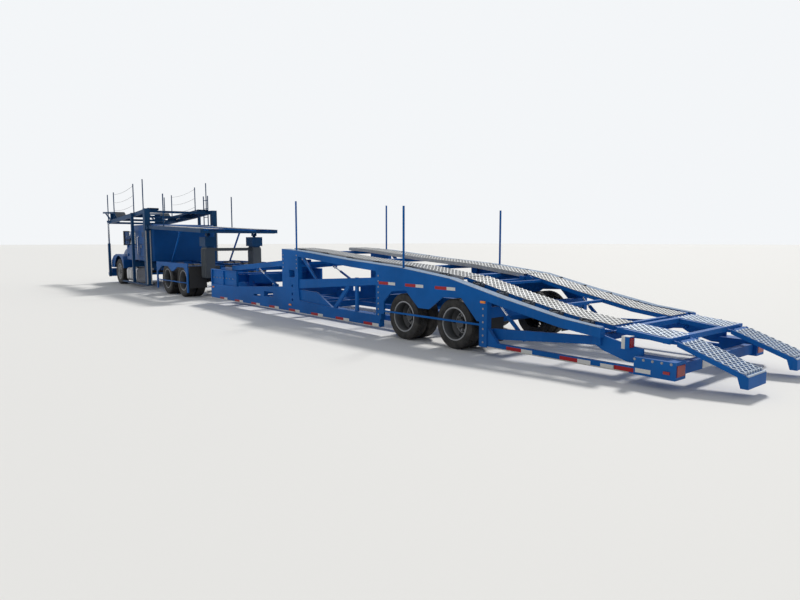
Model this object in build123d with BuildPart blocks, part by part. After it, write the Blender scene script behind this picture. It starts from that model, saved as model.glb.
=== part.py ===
from build123d import *
import math
import os

os.makedirs("parts", exist_ok=True)

# The vehicle is set out by stations: millimetres forward of the trailer's rear axle.
# +X is forward, +Y the driver's side, +Z up, and the floor is at height 0.
ramp_tip_station = -4200

# Widths are measured out from the centre line.
side_face = 1295
side_depth = 100
side_inner = side_face - side_depth
runway_outer = side_face - 295
runway_inner = runway_outer - 500
runway_depth = 60
runway_wall = 6
rib_half = 30
joint_gap = 5
pin_play = 0.1

# Trailer
trailer_axles = (0, 1230)
trailer_tyre_radius = 400
trailer_rim_radius = 257
trailer_tyre_width = 230
trailer_outer_tyre = side_face - 160
trailer_inner_tyre = trailer_outer_tyre - 260
trailer_spindle_radius = 40
trailer_front = 9410
rail_bottom = 150
chord_depth = 120
chord_line = ((5400, 1520), (4610, 1480), (2760, 1330), (1280, 1240), (60, 1110),
              (-960, 886), (-2000, 690), (-2600, 625))
runway_rise = 20

# Coupling
pivot_station = 9050
hitch_top = 555
hitch_thickness = 55
hitch_radius = 430
kingpin_radius = 25.4
stinger_half = 250

# Tractor
drive_axles = (11700, 13070)
wheelbase = 5780
steer_axle = drive_axles[1] + wheelbase
rack_tip_station = steer_axle + 2450
origin_station = (rack_tip_station + ramp_tip_station) / 2
tractor_tyre_radius = 500
tractor_rim_radius = 300
tractor_tyre_width = 260
drive_outer_tyre = side_face - 175
drive_inner_tyre = drive_outer_tyre - 290
steer_tyre = side_face - 265
kingpin_width = steer_tyre - 170
drive_spindle_radius = 45
steer_spindle_radius = 40
rail_outer = 430
rail_flange = 80
rail_web = 10
frame_low = 700
frame_high = 970
frame_rear = 10700
frame_front = steer_axle + 1050
cab_half = side_face - 195
cab_wall = 50
cab_corner = 45
cab_floor = 1000
cab_roof = 2280
cab_length = 3160
cab_front = steer_axle - 890
cab_rear = cab_front - cab_length
door_rear = cab_front - 1275
door_front = cab_front - 245
door_low = cab_floor + 20
door_hinge = (door_front + 13, cab_half + 18)
hood_hinge = (steer_axle + 1180, 720)
hood_wall = 20
arch_radius = 620
fender_half = cab_half + 80
post_inner = cab_half + 105
rear_post = (cab_rear + 200, cab_rear + 400)
middle_post = (door_rear - 133, door_rear - 38)
front_post = (steer_axle + 950, steer_axle + 1040)

# Decks
rack_pivot = (rear_post[1] + 90, 2760)
rack_beam = (side_face - 195, side_face - 105)
rack_beam_depth = 130
deck_pivot = (rear_post[0] - 100, 2170)
deck_beam = (side_face - 165, side_face - 70)
front_deck_pivot = (5480, 1190)
rear_deck_pivot = (0, 1065)
tail_pivot = (-2630, 600)
ramp_pivot = (-3400, 505)
guard_rod_height = 1060
guard_rod_radius = 19


def side_plane(y):
    """An upright plane at one width, drawn in stations and heights, that faces the right side"""
    return Plane(origin=(-origin_station, y, 0), x_dir=(1, 0, 0), z_dir=(0, -1, 0))


def cross_plane(station):
    """An upright plane across the vehicle, drawn in widths and heights, that faces forward"""
    return Plane(origin=(station - origin_station, 0, 0), x_dir=(0, 1, 0), z_dir=(1, 0, 0))


def block(stations, widths, heights, mode=Mode.ADD):
    """A box between two stations, two widths and two heights"""
    low = [min(pair) for pair in (stations, widths, heights)]
    size = [max(pair) - min(pair) for pair in (stations, widths, heights)]
    with Locations((low[0] - origin_station, low[1], low[2])):
        Box(*size, align=(Align.MIN, Align.MIN, Align.MIN), mode=mode)


def plate(points, widths, mode=Mode.ADD, grow=0, soften=0):
    """A plate cut to an outline of stations and heights, between two widths, its corners rounded if asked"""
    with BuildSketch(side_plane(max(widths))) as outline:
        with BuildLine():
            Polyline(*points, close=True)
        make_face()
        if soften:
            fillet(outline.vertices(), soften)
        if grow:
            offset(amount=grow, kind=Kind.INTERSECTION)
    extrude(outline.sketch, amount=max(widths) - min(widths), mode=mode)


def crosswise(station, height, widths, radius, mode=Mode.ADD):
    """A round bar, eye or hole that lies across the vehicle"""
    middle = (station - origin_station, (widths[0] + widths[1]) / 2, height)
    with Locations(Location(middle, (90, 0, 0))):
        Cylinder(radius, abs(widths[1] - widths[0]), mode=mode)


def upright(station, width, heights, radius, mode=Mode.ADD):
    """A round bar or hole that stands upright"""
    with Locations((station - origin_station, width, min(heights))):
        Cylinder(radius, abs(heights[1] - heights[0]),
                 align=(Align.CENTER, Align.CENTER, Align.MIN), mode=mode)


def tube_along(start, end, width, first, last, radius, mode=Mode.ADD):
    """A round bar on the line between two points of a side view, from one distance to another"""
    length = math.dist(start, end)
    along = ((end[0] - start[0]) / length, (end[1] - start[1]) / length)
    foot = (start[0] + along[0] * first - origin_station, width, start[1] + along[1] * first)
    with Locations(Plane(origin=foot, x_dir=(0, 1, 0), z_dir=(along[0], 0, along[1])).location):
        Cylinder(radius, last - first, align=(Align.CENTER, Align.CENTER, Align.MIN), mode=mode)


def ahead_of(station, points):
    """Points given as distances ahead of a station and heights, as stations and heights"""
    return [(station + ahead, height) for ahead, height in points]


def inset(side, inner, outer):
    """A pair of widths on one side, given as depths in from the outer face"""
    return (side * (side_face - inner), side * (side_face - outer))


def height_on(line, station):
    """The height at a station on a line of points, each a station and a height"""
    points = sorted(line)
    for (s0, z0), (s1, z1) in zip(points, points[1:]):
        if s0 <= station <= s1:
            return z0 + (z1 - z0) * (station - s0) / (s1 - s0)
    nearest = points[0] if station < points[0][0] else points[-1]
    return nearest[1]


def band(line, depth, widths, mode=Mode.ADD):
    """A beam whose top follows a line of points and whose depth is the same all along"""
    points = list(line)
    plate(points + [(s, z - depth) for s, z in reversed(points)], widths, mode)


def runway(line, widths, ribs=(), rib_depth=runway_depth):
    """A runway folded from sheet: a flange down each side, and ribs across it at some stations"""
    low, high = sorted(widths)
    inside = (low + runway_wall, high - runway_wall)
    band(line, runway_depth, widths)
    band([(s, z - runway_wall) for s, z in line], runway_depth, inside, Mode.SUBTRACT)
    for station in ribs:
        band(between(line, station - rib_half, station + rib_half), rib_depth, inside)


def between(line, rear, front, rise=0):
    """The part of a line of points between two stations, raised if asked"""
    inside = [(s, z + rise) for s, z in line if rear < s < front]
    ends = [(s, height_on(line, s) + rise) for s in (rear, front)]
    return sorted(inside + ends)


def finish(builder, name):
    """Name a finished piece and write it"""
    builder.part.label = name
    export_step(builder.part, f"parts/{name}.step")


# Wheels. Each wheel piece is turned about its axle: a tyre's section, and a rim with its hub.
def tyre(station, middle, radius, seat, width):
    """One tyre, with rounded shoulders and bulged side walls"""
    half = width / 2
    shoulder = width * 0.14
    with BuildSketch(cross_plane(station)) as section:
        with BuildLine():
            Polyline((middle - half * 0.8, radius + seat),
                     (middle - half, radius + (seat + radius) / 2),
                     (middle - half, 2 * radius - shoulder),
                     (middle - half + shoulder, 2 * radius),
                     (middle + half - shoulder, 2 * radius),
                     (middle + half, 2 * radius - shoulder),
                     (middle + half, radius + (seat + radius) / 2),
                     (middle + half * 0.8, radius + seat),
                     close=True)
        make_face()
    revolve(section.sketch, axis=wheel_axis(station, radius))


def wheel_axis(station, radius):
    return Axis((station - origin_station, 0, radius), (0, 1, 0))


def turned(station, radius, points, mode=Mode.ADD):
    """A shape turned about a wheel's axle from an outline of widths and radii"""
    with BuildSketch(cross_plane(station)) as section:
        with BuildLine():
            Polyline(*[(width, radius + out) for width, out in points], close=True)
        make_face()
    revolve(section.sketch, axis=wheel_axis(station, radius), mode=mode)


rim_wall = 12
disc_wall = 16
dish_share = 0.64
dish_depth = 45
hand_holes = 5
hand_hole_radius = 27


def rim(station, side, radius, seat, edges, disc, hub, spindle, spindle_end):
    """A rim barrel between two edges with its disc, hand holes, hub and bearing bore"""
    low, high = edges
    hub_radius, hub_in, hub_out = hub
    flip = [side * width for width in (low, high, disc - disc_wall / 2, disc + disc_wall / 2)]
    turned(station, radius, [(flip[0], seat - rim_wall), (flip[0], seat), (flip[1], seat),
                             (flip[1], seat - rim_wall)])
    dish = side * dish_depth
    knee = seat * dish_share
    welded = seat - rim_wall / 2
    turned(station, radius, [(flip[2], hub_radius * 0.6), (flip[2], knee), (flip[2] + dish, welded),
                             (flip[3] + dish, welded), (flip[3], knee), (flip[3], hub_radius * 0.6)])
    turned(station, radius, [(side * hub_in, spindle + pin_play), (side * hub_in, hub_radius),
                             (side * hub_out, hub_radius * 0.8), (side * hub_out, 0),
                             (side * spindle_end, 0), (side * spindle_end, spindle + pin_play)])
    ring = (seat - rim_wall + knee) / 2
    for turn in range(hand_holes):
        angle = 2 * math.pi * turn / hand_holes
        crosswise(station + ring * math.cos(angle), radius + ring * math.sin(angle),
                  (side * (disc - disc_wall), side * (disc + dish_depth + disc_wall)), hand_hole_radius,
                  mode=Mode.SUBTRACT)


twin_sets = []
for row, axle in zip(("rear", "front"), trailer_axles):
    twin_sets.append((f"trailer_{row}", axle, trailer_tyre_radius, trailer_rim_radius, trailer_tyre_width,
                      trailer_outer_tyre, trailer_inner_tyre, trailer_spindle_radius))
for row, axle in zip(("rear", "front"), drive_axles):
    twin_sets.append((f"drive_{row}", axle, tractor_tyre_radius, tractor_rim_radius, tractor_tyre_width,
                      drive_outer_tyre, drive_inner_tyre, drive_spindle_radius))
sides = (("left", 1), ("right", -1))
spindle_reach = 70

for set_name, axle, tyre_radius, rim_radius, tyre_width, outer, inner, spindle in twin_sets:
    for side_name, side in sides:
        with BuildPart() as twin_tyres:
            for middle in (outer, inner):
                tyre(axle, side * middle, tyre_radius, rim_radius, tyre_width)
        finish(twin_tyres, f"{set_name}_{side_name}_tyres")
        mount = (outer + inner) / 2
        hub_inner = inner - tyre_width / 2 - 15
        with BuildPart() as twin_rim:
            rim(axle, side, tyre_radius, rim_radius, (inner - tyre_width * 0.45, outer + tyre_width * 0.45),
                mount, (spindle + 55, hub_inner, mount + spindle_reach + 25), spindle,
                mount + spindle_reach)
        finish(twin_rim, f"{set_name}_{side_name}_rims")

steer_disc = steer_tyre + 70
steer_hub_inner = steer_tyre - tractor_tyre_width / 2 + 45
for side_name, side in sides:
    with BuildPart() as steer_tyre_part:
        tyre(steer_axle, side * steer_tyre, tractor_tyre_radius, tractor_rim_radius, tractor_tyre_width)
    finish(steer_tyre_part, f"steer_{side_name}_tyre")
    with BuildPart() as steer_rim:
        rim(steer_axle, side, tractor_tyre_radius, tractor_rim_radius,
            (steer_tyre - tractor_tyre_width * 0.45, steer_tyre + tractor_tyre_width * 0.45),
            steer_disc, (95, steer_hub_inner, steer_disc + 30), steer_spindle_radius, steer_disc)
    finish(steer_rim, f"steer_{side_name}_rim")

# Axles and steering
axle_boss = (440, 560)
ear_gap = 5
ear_height = 50
kingpin_pin = 20
kingpin_eye = 45
with BuildPart() as front_axle:
    with BuildSketch(cross_plane(steer_axle - 50)) as beam:
        with BuildLine():
            Polyline((-820, 455), (-540, 400), (540, 400), (820, 455),
                     (820, 545), (540, 490), (-540, 490), (-820, 545), close=True)
        make_face()
    extrude(beam.sketch, amount=100)
    for side in (1, -1):
        upright(steer_axle, side * kingpin_width, axle_boss, kingpin_eye)
        upright(steer_axle, side * kingpin_width, (axle_boss[0] - 50, axle_boss[1] + 50), kingpin_pin)
        block((steer_axle - 60, steer_axle + 60), (side * 355, side * 425), (480, 580))
        plate([(steer_axle - 620, 650), (steer_axle, 570), (steer_axle + 620, 650), (steer_axle + 620, 630),
               (steer_axle + 30, 540), (steer_axle - 30, 540), (steer_axle - 620, 630)],
              (side * 360, side * 420))
        for end in (-620, 620):
            block((steer_axle + end - 30, steer_axle + end + 30), (side * 360, side * 420),
                  (620, frame_low))
finish(front_axle, "front_axle")

web = (kingpin_width + kingpin_eye + 7, kingpin_width + kingpin_eye + 30)
ears = ((axle_boss[0] - ear_gap - ear_height, axle_boss[0] - ear_gap),
        (axle_boss[1] + ear_gap, axle_boss[1] + ear_gap + ear_height))
for side_name, side in sides:
    with BuildPart() as knuckle:
        block((steer_axle - 50, steer_axle + 50), (side * web[0], side * web[1]), (ears[0][0], ears[1][1]))
        for ear in ears:
            upright(steer_axle, side * kingpin_width, ear, kingpin_eye)
            block((steer_axle - 40, steer_axle + 40), (side * kingpin_width, side * web[0]), ear)
        block((steer_axle - 180, steer_axle), (side * (kingpin_width - 30), side * (kingpin_width + 10)),
              (ears[0][0], ears[0][0] + 30))
        upright(steer_axle, side * kingpin_width, (ears[0][0] - 5, ears[1][1] + 5), kingpin_pin + pin_play,
                mode=Mode.SUBTRACT)
        crosswise(steer_axle, tractor_tyre_radius, (side * web[0], side * (steer_disc - 10)),
                  steer_spindle_radius)
    finish(knuckle, f"knuckle_{side_name}")

with BuildPart() as drive_axle_pair:
    for axle in drive_axles:
        crosswise(axle, tractor_tyre_radius, (-650, 650), 70)
        crosswise(axle, tractor_tyre_radius, (-110, 110), 190)
        nose = (axle + 220 - origin_station, 0, tractor_tyre_radius + 20)
        with Locations(Location(nose, (0, 90, 0))):
            Cylinder(90, 180)
        for side in (1, -1):
            spindle_end = (drive_outer_tyre + drive_inner_tyre) / 2 + spindle_reach - 5
            crosswise(axle, tractor_tyre_radius, (side * 640, side * spindle_end), drive_spindle_radius)
            block((axle - 90, axle + 90), (side * 350, side * 430), (tractor_tyre_radius + 30, frame_low))
    with Locations((sum(drive_axles) / 2 + 110 - origin_station, 0, tractor_tyre_radius + 20)):
        Cylinder(45, drive_axles[1] - drive_axles[0] - 380, rotation=(0, 90, 0))
finish(drive_axle_pair, "drive_axles")

# Tractor frame: two channel rails, cross members, and the low hitch beam behind the drive axles
cross_stations = (10760, 12385, 14300, cab_front - 1760, cab_front + 160, frame_front - 80)
with BuildPart() as chassis:
    flange_edge = rail_outer - rail_flange
    web_face = rail_outer - rail_web
    channel = [(rail_outer, frame_low), (rail_outer, frame_high), (flange_edge, frame_high),
               (flange_edge, frame_high - rail_web), (web_face, frame_high - rail_web),
               (web_face, frame_low + rail_web), (flange_edge, frame_low + rail_web),
               (flange_edge, frame_low)]
    for side in (1, -1):
        with BuildSketch(cross_plane(frame_rear)) as rail:
            with BuildLine():
                Polyline(*[(side * y, z) for y, z in channel], close=True)
            make_face()
        extrude(rail.sketch, amount=frame_front - frame_rear, dir=(1, 0, 0))
    for station in cross_stations:
        block((station - 40, station + 40), (-(rail_outer - rail_web), rail_outer - rail_web), (760, 900))
    plate([(frame_rear, 940), (frame_rear + 400, 940), (frame_rear + 400, 430), (frame_rear + 250, 210),
           (pivot_station - 320, 210), (pivot_station - 320, 420), (pivot_station - 200, hitch_top - 40),
           (frame_rear - 250, hitch_top - 55), (frame_rear, 700)], (-stinger_half, stinger_half))
    upright(pivot_station, 0, (hitch_top - hitch_thickness, hitch_top), hitch_radius)
    upright(pivot_station, 0, (hitch_top - 110, hitch_top + 5), kingpin_radius + pin_play, mode=Mode.SUBTRACT)
finish(chassis, "chassis_frame")

engine_ends = (steer_axle - 150, steer_axle + 800)
with BuildPart() as engine:
    block(engine_ends, (-330, 330), (frame_low - 80, 1250))
    block(engine_ends, (-400, 400), (frame_low - 80, frame_low), mode=Mode.SUBTRACT)
    for station in (engine_ends[0] + 50, engine_ends[1] - 110):
        block((station, station + 60), (-rail_outer + rail_web, rail_outer - rail_web), (900, frame_high - 15))
finish(engine, "engine_block")

# Tanks under the cab, hung on the rails
tank_rear = cab_front - 1200
tank_length = 1240
tank_section = (480, 500)
with BuildPart() as tanks:
    for side in (1, -1):
        with BuildSketch(cross_plane(tank_rear)) as tank:
            with Locations((side * (side_face - 415), 440)):
                RectangleRounded(*tank_section, 110)
        extrude(tank.sketch, amount=tank_length)
        for station in (tank_rear + 190, tank_rear + 940):
            block((station, station + 60), (side * rail_outer, side * 700), (600, 760))
finish(tanks, "side_tanks")

# Cab: one shell with a flat floor, door openings and a sloping windscreen opening
screen_top = (cab_front - 760, cab_roof - 40)
screen_foot = (cab_front - 160, 1660)
cab_outline = [(cab_rear, cab_floor), (cab_rear, cab_roof - 80), (cab_rear + 80, cab_roof),
               (screen_top[0] - 110, cab_roof), screen_top, screen_foot, (cab_front, screen_foot[1] - 130),
               (cab_front, cab_floor)]
cab_inside = [(cab_rear + cab_wall, cab_floor + cab_wall), (cab_rear + cab_wall, cab_roof - cab_wall - 60),
              (cab_rear + cab_wall + 60, cab_roof - cab_wall), (screen_top[0] - 130, cab_roof - cab_wall),
              (screen_top[0] - 50, screen_top[1] - 25), (screen_foot[0] - 60, screen_foot[1] - 20),
              (cab_front - cab_wall, screen_foot[1] - 160), (cab_front - cab_wall, cab_floor + cab_wall)]
door_outline = [(door_rear, door_low), (door_front, door_low), (door_front, screen_foot[1] - 20),
                (screen_top[0], screen_top[1] - 100), (door_rear, screen_top[1] - 100)]
window_low = 1560
window_top = screen_top[1] - 170
window_rear = door_rear + 90
window_front = door_front - 70
window_outline = [(window_rear, window_low), (window_front, window_low), (window_front, window_low + 50),
                  (screen_top[0] - 30, window_top), (window_rear, window_top)]


def along_screen(distance, out):
    """A point on the windscreen's slope, at a distance down it and out from it"""
    run = (screen_foot[0] - screen_top[0], screen_foot[1] - screen_top[1])
    length = math.hypot(*run)
    return (screen_top[0] + (run[0] * distance - run[1] * out) / length,
            screen_top[1] + (run[1] * distance + run[0] * out) / length)


screen_edges = (60, 780)
screen_half = 960
cab_mounts = (cab_rear + 100, cab_front - 1610, cab_front - 110)
glass = 8
hinge_heights = ((1150, 1200), (1480, 1530))
with BuildPart() as cab:
    plate(cab_outline, (-cab_half, cab_half))
    for skin in cab.faces().filter_by(Axis.Y):
        edges = [edge for edge in skin.edges() if edge.center().Z > cab_floor + 1]
        fillet(edges, cab_corner)
    plate(cab_inside, (-(cab_half - cab_wall), cab_half - cab_wall), mode=Mode.SUBTRACT)
    plate([along_screen(screen_edges[0], -90), along_screen(screen_edges[1], -90),
           along_screen(screen_edges[1], 60), along_screen(screen_edges[0], 60)],
          (-screen_half, screen_half), mode=Mode.SUBTRACT)
    for side in (1, -1):
        plate(door_outline, (side * (cab_half - cab_wall), side * (cab_half + 10)), Mode.SUBTRACT, joint_gap)
        for station in cab_mounts:
            block((station - 40, station + 40), (side * 360, side * 420), (frame_high, cab_floor))
        for low, high in hinge_heights:
            upright(door_hinge[0], side * door_hinge[1], (low - 30, high + 30), 6)
            for bracket in ((low - 30, low - 2), (high + 2, high + 30)):
                upright(door_hinge[0], side * door_hinge[1], bracket, 14)
                block((door_hinge[0], door_hinge[0] + 50), (side * cab_half, side * (cab_half + 22)), bracket)
finish(cab, "cab_shell")

with BuildPart() as cab_glass:
    plate([along_screen(screen_edges[0], -30), along_screen(screen_edges[1], -30),
           along_screen(screen_edges[1], -30 + glass), along_screen(screen_edges[0], -30 + glass)],
          (-screen_half, screen_half))
finish(cab_glass, "windscreen")

with BuildPart() as interior:
    for side in (1, -1):
        seat = (side * (cab_half - 770), side * (cab_half - 270))
        block((cab_front - 1060, cab_front - 610), seat, (cab_floor + cab_wall, 1420))
        plate(ahead_of(cab_front, [(-1180, 1420), (-1030, 1420), (-1100, 2050), (-1210, 2050)]), seat)
        plate(ahead_of(cab_front, [(-1030, cab_floor + cab_wall), (-1160, 1100), (-1180, 1430),
                                   (-1000, 1430)]), seat)
    dash_half = cab_half - cab_wall - 20
    plate(ahead_of(cab_front, [(-400, 1320), (-460, 1500), (-260, 1560), (-cab_wall, 1450),
                               (-cab_wall, 1250)]), (-dash_half, dash_half))
    block((cab_rear + cab_wall, cab_rear + 900), (-(cab_half - cab_wall), cab_half - cab_wall),
          (cab_floor + cab_wall, 1500))
    column_foot, column_head = ahead_of(cab_front, [(-400, 1440), (-560, 1600)])
    tube_along(column_foot, column_head, 580, 0, 215, 22)
    wheel_middle = (column_head[0] + 8 - origin_station, 580, column_head[1] - 8)
    wheel_plane = Plane(origin=wheel_middle, z_dir=(-1, 0, 1))
    rim_plane = Plane(origin=wheel_plane.origin, x_dir=wheel_plane.x_dir, z_dir=wheel_plane.y_dir)
    with BuildSketch(rim_plane) as grip:
        with Locations((210, 0)):
            RegularPolygon(15, 8)
    revolve(grip.sketch, axis=Axis(wheel_plane.origin, wheel_plane.z_dir))
    with Locations(wheel_plane.location):
        Box(30, 420, 14)
finish(interior, "cab_interior")

mirror_arm = 30
for side_name, side in sides:
    with BuildPart() as door:
        plate(door_outline, (side * (cab_half - cab_wall), side * cab_half))
        plate(window_outline, (side * (cab_half - cab_wall - 1), side * (cab_half + 1)), mode=Mode.SUBTRACT)
        block((window_rear, door_front - 120),
              (side * (cab_half - cab_wall), side * (cab_half - cab_wall + 20)), (door_low + 80, 1480),
              mode=Mode.SUBTRACT)
        for low, high in hinge_heights:
            upright(door_hinge[0], side * door_hinge[1], (low, high), 14)
            block((door_front - 50, door_front), (side * cab_half, side * (cab_half + 9)), (low, high))
            block((door_front, door_hinge[0]), (side * (cab_half + 1), side * (cab_half + 9)), (low, high))
            upright(door_hinge[0], side * door_hinge[1], (low - 5, high + 5), 6 + pin_play, mode=Mode.SUBTRACT)
        block((door_rear + 40, door_rear + 170), (side * cab_half, side * (cab_half + 30)), (1450, 1475))
        for low in (window_low, window_top - 50):
            block((screen_top[0], screen_top[0] + mirror_arm),
                  (side * (cab_half - 10), side * (cab_half + 160)), (low, low + mirror_arm))
        block((screen_top[0] - 30, screen_top[0] + 60), (side * (cab_half + 100), side * (cab_half + 300)),
              (window_low - 20, window_top))
    finish(door, f"door_{side_name}")
    with BuildPart() as door_glass:
        plate(window_outline, (side * (cab_half - 30), side * (cab_half - 30 + glass)))
    finish(door_glass, f"door_glass_{side_name}")

# Hood: a tapered shell that carries the fenders and tips forward about its foot
hood_rear = cab_front + 20
hood_front = steer_axle + 1240
hood_half = cab_half - 210
nose_half = hood_half - 250
lamp_size = (220, 150)
lamp_place = (fender_half - 220, 775)
lamp_face = steer_axle + 1075
hood_low = 640
hood_outline = [(hood_rear, hood_low + 60), (hood_rear, 1500), (steer_axle + 50, 1470),
                (steer_axle + 850, 1370), (hood_front, 1240), (hood_front, hood_low),
                (hood_rear + 900, hood_low)]
fender_outline = ahead_of(steer_axle, [(-660, hood_low), (-660, 950), (-520, 1110), (-290, 1180), (350, 1180),
                                       (710, 1100), (1010, 900), (1050, hood_low)])


def headlamp(side, mode=Mode.ADD):
    """The block of one headlamp, set into the front of its fender"""
    with BuildSketch(cross_plane(lamp_face - 110)) as lamp:
        with Locations((side * lamp_place[0], lamp_place[1])):
            RectangleRounded(*lamp_size, 35)
    extrude(lamp.sketch, amount=110, mode=mode)


def hood_form(inset):
    """The hood's body as a solid, with its skin moved in by an amount"""
    with BuildPart() as form:
        plate(hood_outline, (-(hood_half + 10), hood_half + 10), grow=-inset)
        for side in (1, -1):
            with BuildSketch(Plane.XY.offset(600)) as wedge:
                with BuildLine():
                    Polyline((hood_rear - origin_station - 1, side * (hood_half - inset)),
                             (hood_front - origin_station + 1, side * (nose_half - inset)),
                             (hood_front - origin_station + 1, side * (hood_half + 60)),
                             (hood_rear - origin_station - 1, side * (hood_half + 60)), close=True)
                make_face()
            extrude(wedge.sketch, amount=1000, mode=Mode.SUBTRACT)
        long_edges = form.edges().filter_by(lambda edge: edge.center().Z > 1200 and abs(edge.center().Y) > 500)
        nose_edges = form.edges().filter_by(Axis.Z).group_by(Axis.X)[-1]
        fillet(long_edges + nose_edges, 90 - inset)
    return form.part


hood_skin, hood_hollow = hood_form(0), hood_form(hood_wall)
with BuildPart() as hood:
    add(hood_skin)
    add(hood_hollow, mode=Mode.SUBTRACT)
    block((hood_rear - 10, hood_rear + 60), (-(hood_half - 50), hood_half - 50), (600, 1440),
          mode=Mode.SUBTRACT)
    block((hood_rear - 10, hood_front - hood_wall), (-(nose_half - 50), nose_half - 50), (600, 800),
          mode=Mode.SUBTRACT)
    for side in (1, -1):
        plate(fender_outline, (side * (nose_half - 40), side * fender_half), soften=30)
        plate(fender_outline, (side * (nose_half - 50), side * (fender_half - hood_wall)), Mode.SUBTRACT,
              -hood_wall)
    for side in (1, -1):
        crosswise(steer_axle, tractor_tyre_radius, (side * (nose_half - 55), side * (fender_half + 10)),
                  arch_radius, mode=Mode.SUBTRACT)
        block((hood_front - hood_wall - 20, hood_front - hood_wall), (side * 345, side * 520), (690, 750))
        plate([(hood_hinge[0] - 25, 700), (hood_hinge[0] - 25, 745), (hood_front - hood_wall, 750),
               (hood_front - hood_wall, 690)], (side * 345, side * 370))
        headlamp(side, Mode.SUBTRACT)
    block((hood_front - hood_wall - 1, hood_front + 10), (-450, 450), (600, 1180), mode=Mode.SUBTRACT)
    for side in (1, -1):
        crosswise(hood_hinge[0], hood_hinge[1], (side * 340, side * 380), 12 + pin_play, mode=Mode.SUBTRACT)
finish(hood, "hood")

with BuildPart() as headlamps:
    for side in (1, -1):
        headlamp(side)
finish(headlamps, "headlamps")

grille_bars = 11
tow_eye = (steer_axle + 1538, 350)
grille_low, grille_top = 680, 1180
with BuildPart() as grille:
    block((hood_front - hood_wall, hood_front + 12), (-450, 450), (grille_low, grille_top))
    block((hood_front - 40, hood_front + 20), (-420, 420), (grille_low + 30, grille_top - 30),
          mode=Mode.SUBTRACT)
    for bar in range(grille_bars):
        middle = -420 + 840 * (bar + 0.5) / grille_bars
        block((hood_front - hood_wall, hood_front + 6), (middle - 9, middle + 9),
              (grille_low + 20, grille_top - 20))
finish(grille, "grille")

bumper_rear = frame_front + 60
bumper_half = cab_half + 50
bumper_points = [(0, -bumper_half), (180, -bumper_half), (370, 300 - bumper_half), (390, 0),
                 (370, bumper_half - 300), (180, bumper_half), (0, bumper_half)]
with BuildPart() as bumper:
    with BuildSketch(Plane.XY.offset(260)) as bumper_plan:
        with BuildLine():
            Polyline(*[(bumper_rear + ahead - origin_station, width) for ahead, width in bumper_points],
                     close=True)
        make_face()
    extrude(bumper_plan.sketch, amount=320)
    block((front_post[1], bumper_rear), (-side_face, side_face), (320, 420))
    for side in (1, -1):
        block((frame_front, bumper_rear), (side * 350, side * 430), (420, 900))
        plate([(hood_hinge[0] - 22, 560), (hood_hinge[0] + 8, 560), (hood_hinge[0] + 8, 665),
               (hood_hinge[0] + 20, 695), (hood_hinge[0] + 20, 740), (hood_hinge[0] - 22, 740)],
              (side * 310, side * 338))
        crosswise(*hood_hinge, (side * 320, side * 380), 12)
        block((tow_eye[0] - 68, tow_eye[0] + 42), (side * 395, side * 425),
              (tow_eye[1] - 50, tow_eye[1] + 50))
        crosswise(*tow_eye, (side * 390, side * 430), 22, mode=Mode.SUBTRACT)
finish(bumper, "bumper")

# Posts that carry the head rack, the low side bars, the outriggers and the ladder
ladder_stations = (rear_post[1] + 500, rear_post[1] + 900)
ladder_width = -(side_face - 50)
inner_post_inset = 15
bore_inset = inner_post_inset - 0.5
with BuildPart() as posts:
    for side in (1, -1):
        block(rear_post, inset(side, 180, 0), (rail_bottom, 2820))
        block(middle_post, (side * post_inner, side * side_face), (200, 2720))
        block(front_post, (side * post_inner, side * side_face), (260, 1600))
        block((front_post[0] + bore_inset, front_post[1] - bore_inset),
              (side * (post_inner + bore_inset), side * (side_face - bore_inset)), (860, 1610),
              mode=Mode.SUBTRACT)
        block((rear_post[1], cab_front + 40), (side * post_inner, side * (side_face - 5)), (rail_bottom, 200))
        for station in (rear_post[0] + 60, middle_post[0] + 8):
            block((station, station + 80), (side * rail_outer, side * (side_face - 55)), (760, 940))
        block((rear_post[1], rack_pivot[0] + 40), (side * (post_inner - 5), side * (post_inner + 25)),
              (2700, 2820))
        crosswise(*rack_pivot, (side * (rack_beam[0] + 5), side * post_inner), 20)
        block((deck_pivot[0] - 40, rear_post[0]), inset(side, 60, 30), (2110, 2230))
        crosswise(*deck_pivot, (side * (deck_beam[0] + 5), side * (side_face - 55)), 20)
    for station in ladder_stations:
        upright(station, ladder_width, (190, 3400), 20)
    for rung in range(8):
        with Locations(Location((sum(ladder_stations) / 2 - origin_station, ladder_width, 1000 + 320 * rung),
                                (0, 90, 0))):
            Cylinder(13, ladder_stations[1] - ladder_stations[0])
finish(posts, "rack_posts")

# Fender panels beside the drive wheels, with the guard bar across them
prop_foot = (drive_axles[1] + 230, frame_high + 40)
prop_head = (prop_foot[0] - 830, 1985)
prop_width = side_face - 295
prop_radius = 30
with BuildPart() as fenders:
    for side in (1, -1):
        plate([(11170, 150), (11170, 1020), (13950, 1020), (13950, 150), (13850, 150), (13850, 700),
               (13420, 900), (12850, 900), (12560, 760), (12420, 760), (12050, 900), (11480, 900),
               (11270, 700), (11270, 150)], inset(side, 33, 0))
        block((11170, 13950), inset(side, 31, 5), (425, 455))
        for station in (11170, 12350, 13850):
            block((station, station + 90), (side * rail_outer, side * (side_face - 25)), (920, 960))
        # The prop that the upper deck comes down on, with its seat and the outrigger under it
        block((prop_foot[0] - 45, prop_foot[0] + 45), (side * (rail_outer - 60), side * (side_face - 25)),
              (frame_high + 5, frame_high + 45))
        block((prop_foot[0] - 45, prop_foot[0] + 45), (side * (rail_outer - 60), side * rail_outer),
              (frame_high, frame_high + 10))
        prop_length = math.dist(prop_foot, prop_head)
        tube_along(prop_foot, prop_head, side * prop_width, -15, prop_length, prop_radius)
        block((prop_head[0] - 50, prop_head[0] + 50), (side * (prop_width - 50), side * (prop_width + 50)),
              (prop_head[1] - 25, prop_head[1] + 10))
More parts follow.
